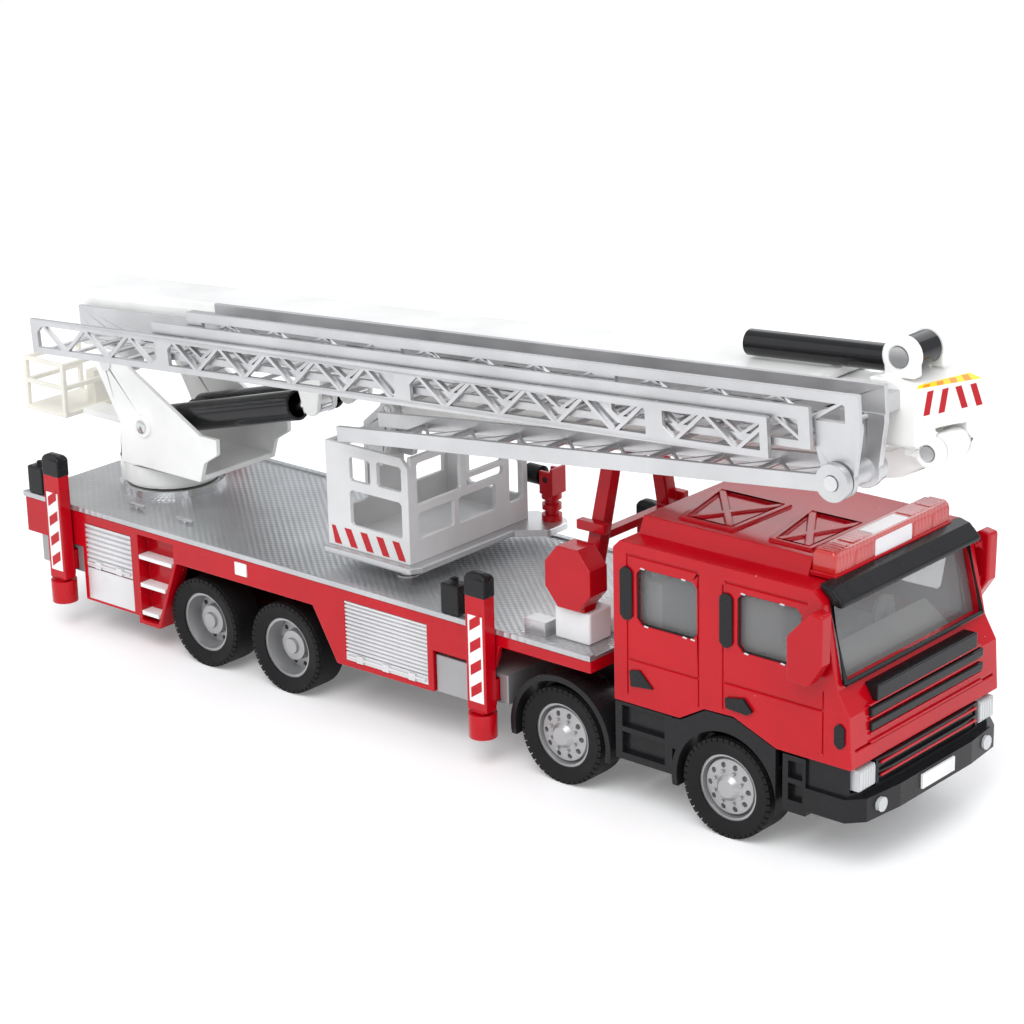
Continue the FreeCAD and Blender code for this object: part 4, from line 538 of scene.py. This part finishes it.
def head_markings():
    """Red bars on the boom head's slanted front and a yellow and orange band along its top edge."""
    near, far = Vector((211.8, -8.2)), Vector((216.0, 8.2))
    normal = Vector((far.y - near.y, near.x - far.x)).normalized()
    bevel_start, bevel_top, slope = 205.8, 17.0, 3.5 / 12.2

    def edge(share):
        """The level of the front's top edge."""
        return bevel_top - (near.lerp(far, share).x - bevel_start) * slope

    def front(share, level, lift):
        spot = near.lerp(far, share) + normal * lift
        return (spot.x, spot.y, level)

    def top(share, back, lift):
        spot = near.lerp(far, share)
        return (spot.x - back, spot.y, edge(share) + back * slope + lift)

    bars = Piece("head_bars", "telescope", "red_plastic", boom)
    tall, wide = 4.2, 0.085
    for foot, head in ((0.10, 0.17), (0.31, 0.38), (0.64, 0.56), (0.85, 0.77)):
        high = edge(head) - 0.5
        corners = [(foot, high - tall), (foot + wide, high - tall), (head + wide, high), (head, high)]
        bars.loft([[front(a, b, lift) for a, b in corners] for lift in (0.0, 0.07)])
    bars.done()
    band = Piece("head_band", "telescope", "white_paint", boom, YELLOW)
    corners = [(0.05, 0.5), (0.97, 0.5), (0.97, 3.0), (0.16, 1.6)]
    band.loft([[top(a, b, lift) for a, b in corners] for lift in (0.0, 0.06)])
    band.done()
    blocks = Piece("head_band_blocks", "telescope", "white_paint", boom, ORANGE)
    for start in (0.14, 0.34, 0.54, 0.74):
        deep = 1.1 + 1.9 * start
        corners = [(start, 0.5), (start + 0.09, 0.5), (start + 0.17, deep), (start + 0.08, deep)]
        blocks.loft([[top(a, b, lift) for a, b in corners] for lift in (0.05, 0.11)])
    blocks.done()


head_markings()


def boom_trim():
    """A dark strip of painted shade along the boom's side behind the ladders, its end collar and the
    pivots' caps.
    """
    # Painted shade: a dark grey sheet laid where the recess between the boom and the ladder's far rail
    # falls into shade.
    strip = Piece("boom_shade_strip", "boom", "grey_plastic", boom)
    strip.block((14, -8.32, 6.4), (186, -8.18, 9.6)).done(0.05)
    collar = Piece("boom_collar", "boom", "white_paint", boom)
    half, low, high, cut = 8.45, 1.95, 15.65, 1.6
    outline = [(-half, low + cut), (-half + cut, low), (half - cut, low), (half, low + cut),
               (half, high - cut),
               (half - cut, high), (-half + cut, high), (-half, high - cut)]
    inner = [(y * 0.955, low + (v - low) * 0.94 + 0.4) for y, v in outline]
    rear, front = 188.4, 190.9
    rings = [[(u, y, v) for y, v in loop] for u, loop in
             ((rear, outline), (front, outline), (front, inner), (rear, inner), (rear, outline))]
    collar.loft(rings, closed=False).done()

    def caps(side, sign):
        cap = Piece(f"pivot_cap_{side}", "turntable", "steel")
        for x, z, radius, y in ((PIVOT_X, PIVOT_Z, 1.7, 11.5), (-169.6, 46, 1.5, 12.3)):
            profile = [(0.0, radius), (0.35 * sign, radius), (0.55 * sign, radius * 0.6)]
            cap.turned((x, y * sign, z), profile, "Y", 24)
        cap.done()

    both_sides(caps)


boom_trim()


def basket_markings():
    """Red bars along the foot of the basket's near panel."""
    bars = Piece("basket_bars", "basket", "red_plastic")
    y, low, high = -17.0, 33.9, 37.7
    for number in range(5):
        front = -86.2 - number * 4.5
        corners = [(front - 1.9, low), (front, low), (front - 1.7, high), (front - 3.6, high)]
        corners = [(max(a, -106.9), b) for a, b in corners]
        bars.plate(corners, y - 0.08, y)
    bars.done()


basket_markings()
for name, material in (("basket_cage", STONE), ("cab_interior", INTERIOR)):
    NODES[name].data.materials.clear()
    NODES[name].data.materials.append(material)


# ---- light, floor and camera ----

AZIMUTH, ELEVATION, ROLL = math.radians(41.16), math.radians(19.0), math.radians(-1.38)
DISTANCE, LENS = 589.57 * MM, 101.81
TARGET = truck(-72.11, 0, 42.9)


def aim_camera():
    """Put the camera at the right front corner, a little above, looking along the truck."""
    back = Vector((math.sin(AZIMUTH) * math.cos(ELEVATION), -math.cos(AZIMUTH) * math.cos(ELEVATION),
                   math.sin(ELEVATION)))
    right = (-back).cross(Vector((0, 0, 1))).normalized()
    up = back.cross(right)
    side = right * math.cos(ROLL) + up * math.sin(ROLL)
    top = up * math.cos(ROLL) - right * math.sin(ROLL)
    turn = Matrix((side, top, back)).transposed().to_4x4()
    data = bpy.data.cameras.new("camera")
    data.lens = LENS
    data.sensor_width = 36
    data.clip_start = 0.01
    camera = bpy.data.objects.new("camera", data)
    camera.matrix_world = Matrix.Translation(TARGET + back * DISTANCE) @ turn
    bpy.context.scene.collection.objects.link(camera)
    bpy.context.scene.camera = camera


def light(name, place, size, power, aim=(0, 0, 0.04)):
    """A soft area light aimed at a point."""
    data = bpy.data.lights.new(name, "AREA")
    data.shape = "RECTANGLE"
    data.size, data.size_y = size
    data.energy = power
    lamp = bpy.data.objects.new(name, data)
    lamp.location = place
    lamp.rotation_euler = (Vector(aim) - Vector(place)).to_track_quat("-Z", "Y").to_euler()
    bpy.context.scene.collection.objects.link(lamp)


def studio():
    """A pale floor under a bright, soft studio."""
    light("key", (0.30, -0.70, 0.90), (0.7, 0.7), 6.5)
    light("front", (0.95, -0.10, 0.45), (0.6, 0.8), 2.4)
    light("fill", (-0.80, -0.60, 0.55), (0.9, 0.9), 1.6)
    light("back", (-0.20, 0.90, 0.80), (1.2, 0.8), 3.5)
    world = bpy.data.worlds.new("world")
    bpy.context.scene.world = world
    world.use_nodes = True
    world.node_tree.nodes["Background"].inputs["Color"].default_value = (0.94, 0.96, 1.0, 1)
    world.node_tree.nodes["Background"].inputs["Strength"].default_value = 0.62
    bpy.context.scene.view_settings.view_transform = "Standard"
    bpy.context.scene.view_settings.exposure = 0.12
    mesh = bpy.data.meshes.new("floor")
    mesh.from_pydata([(-4, -4, 0), (4, -4, 0), (4, 4, 0), (-4, 4, 0)], [], [(0, 1, 2, 3)])
    floor = bpy.data.objects.new("floor", mesh)
    bpy.context.scene.collection.objects.link(floor)
    made = Finish("floor paper", (0.93, 0.93, 0.93), 0.6)
    made.shader.inputs["Emission Color"].default_value = (1, 1, 1, 1)
    made.shader.inputs["Emission Strength"].default_value = 0.14
    mesh.materials.append(made.paint(vary=0.01, grime=0.0).grain(0.5, 0.05).material)


aim_camera()
studio()
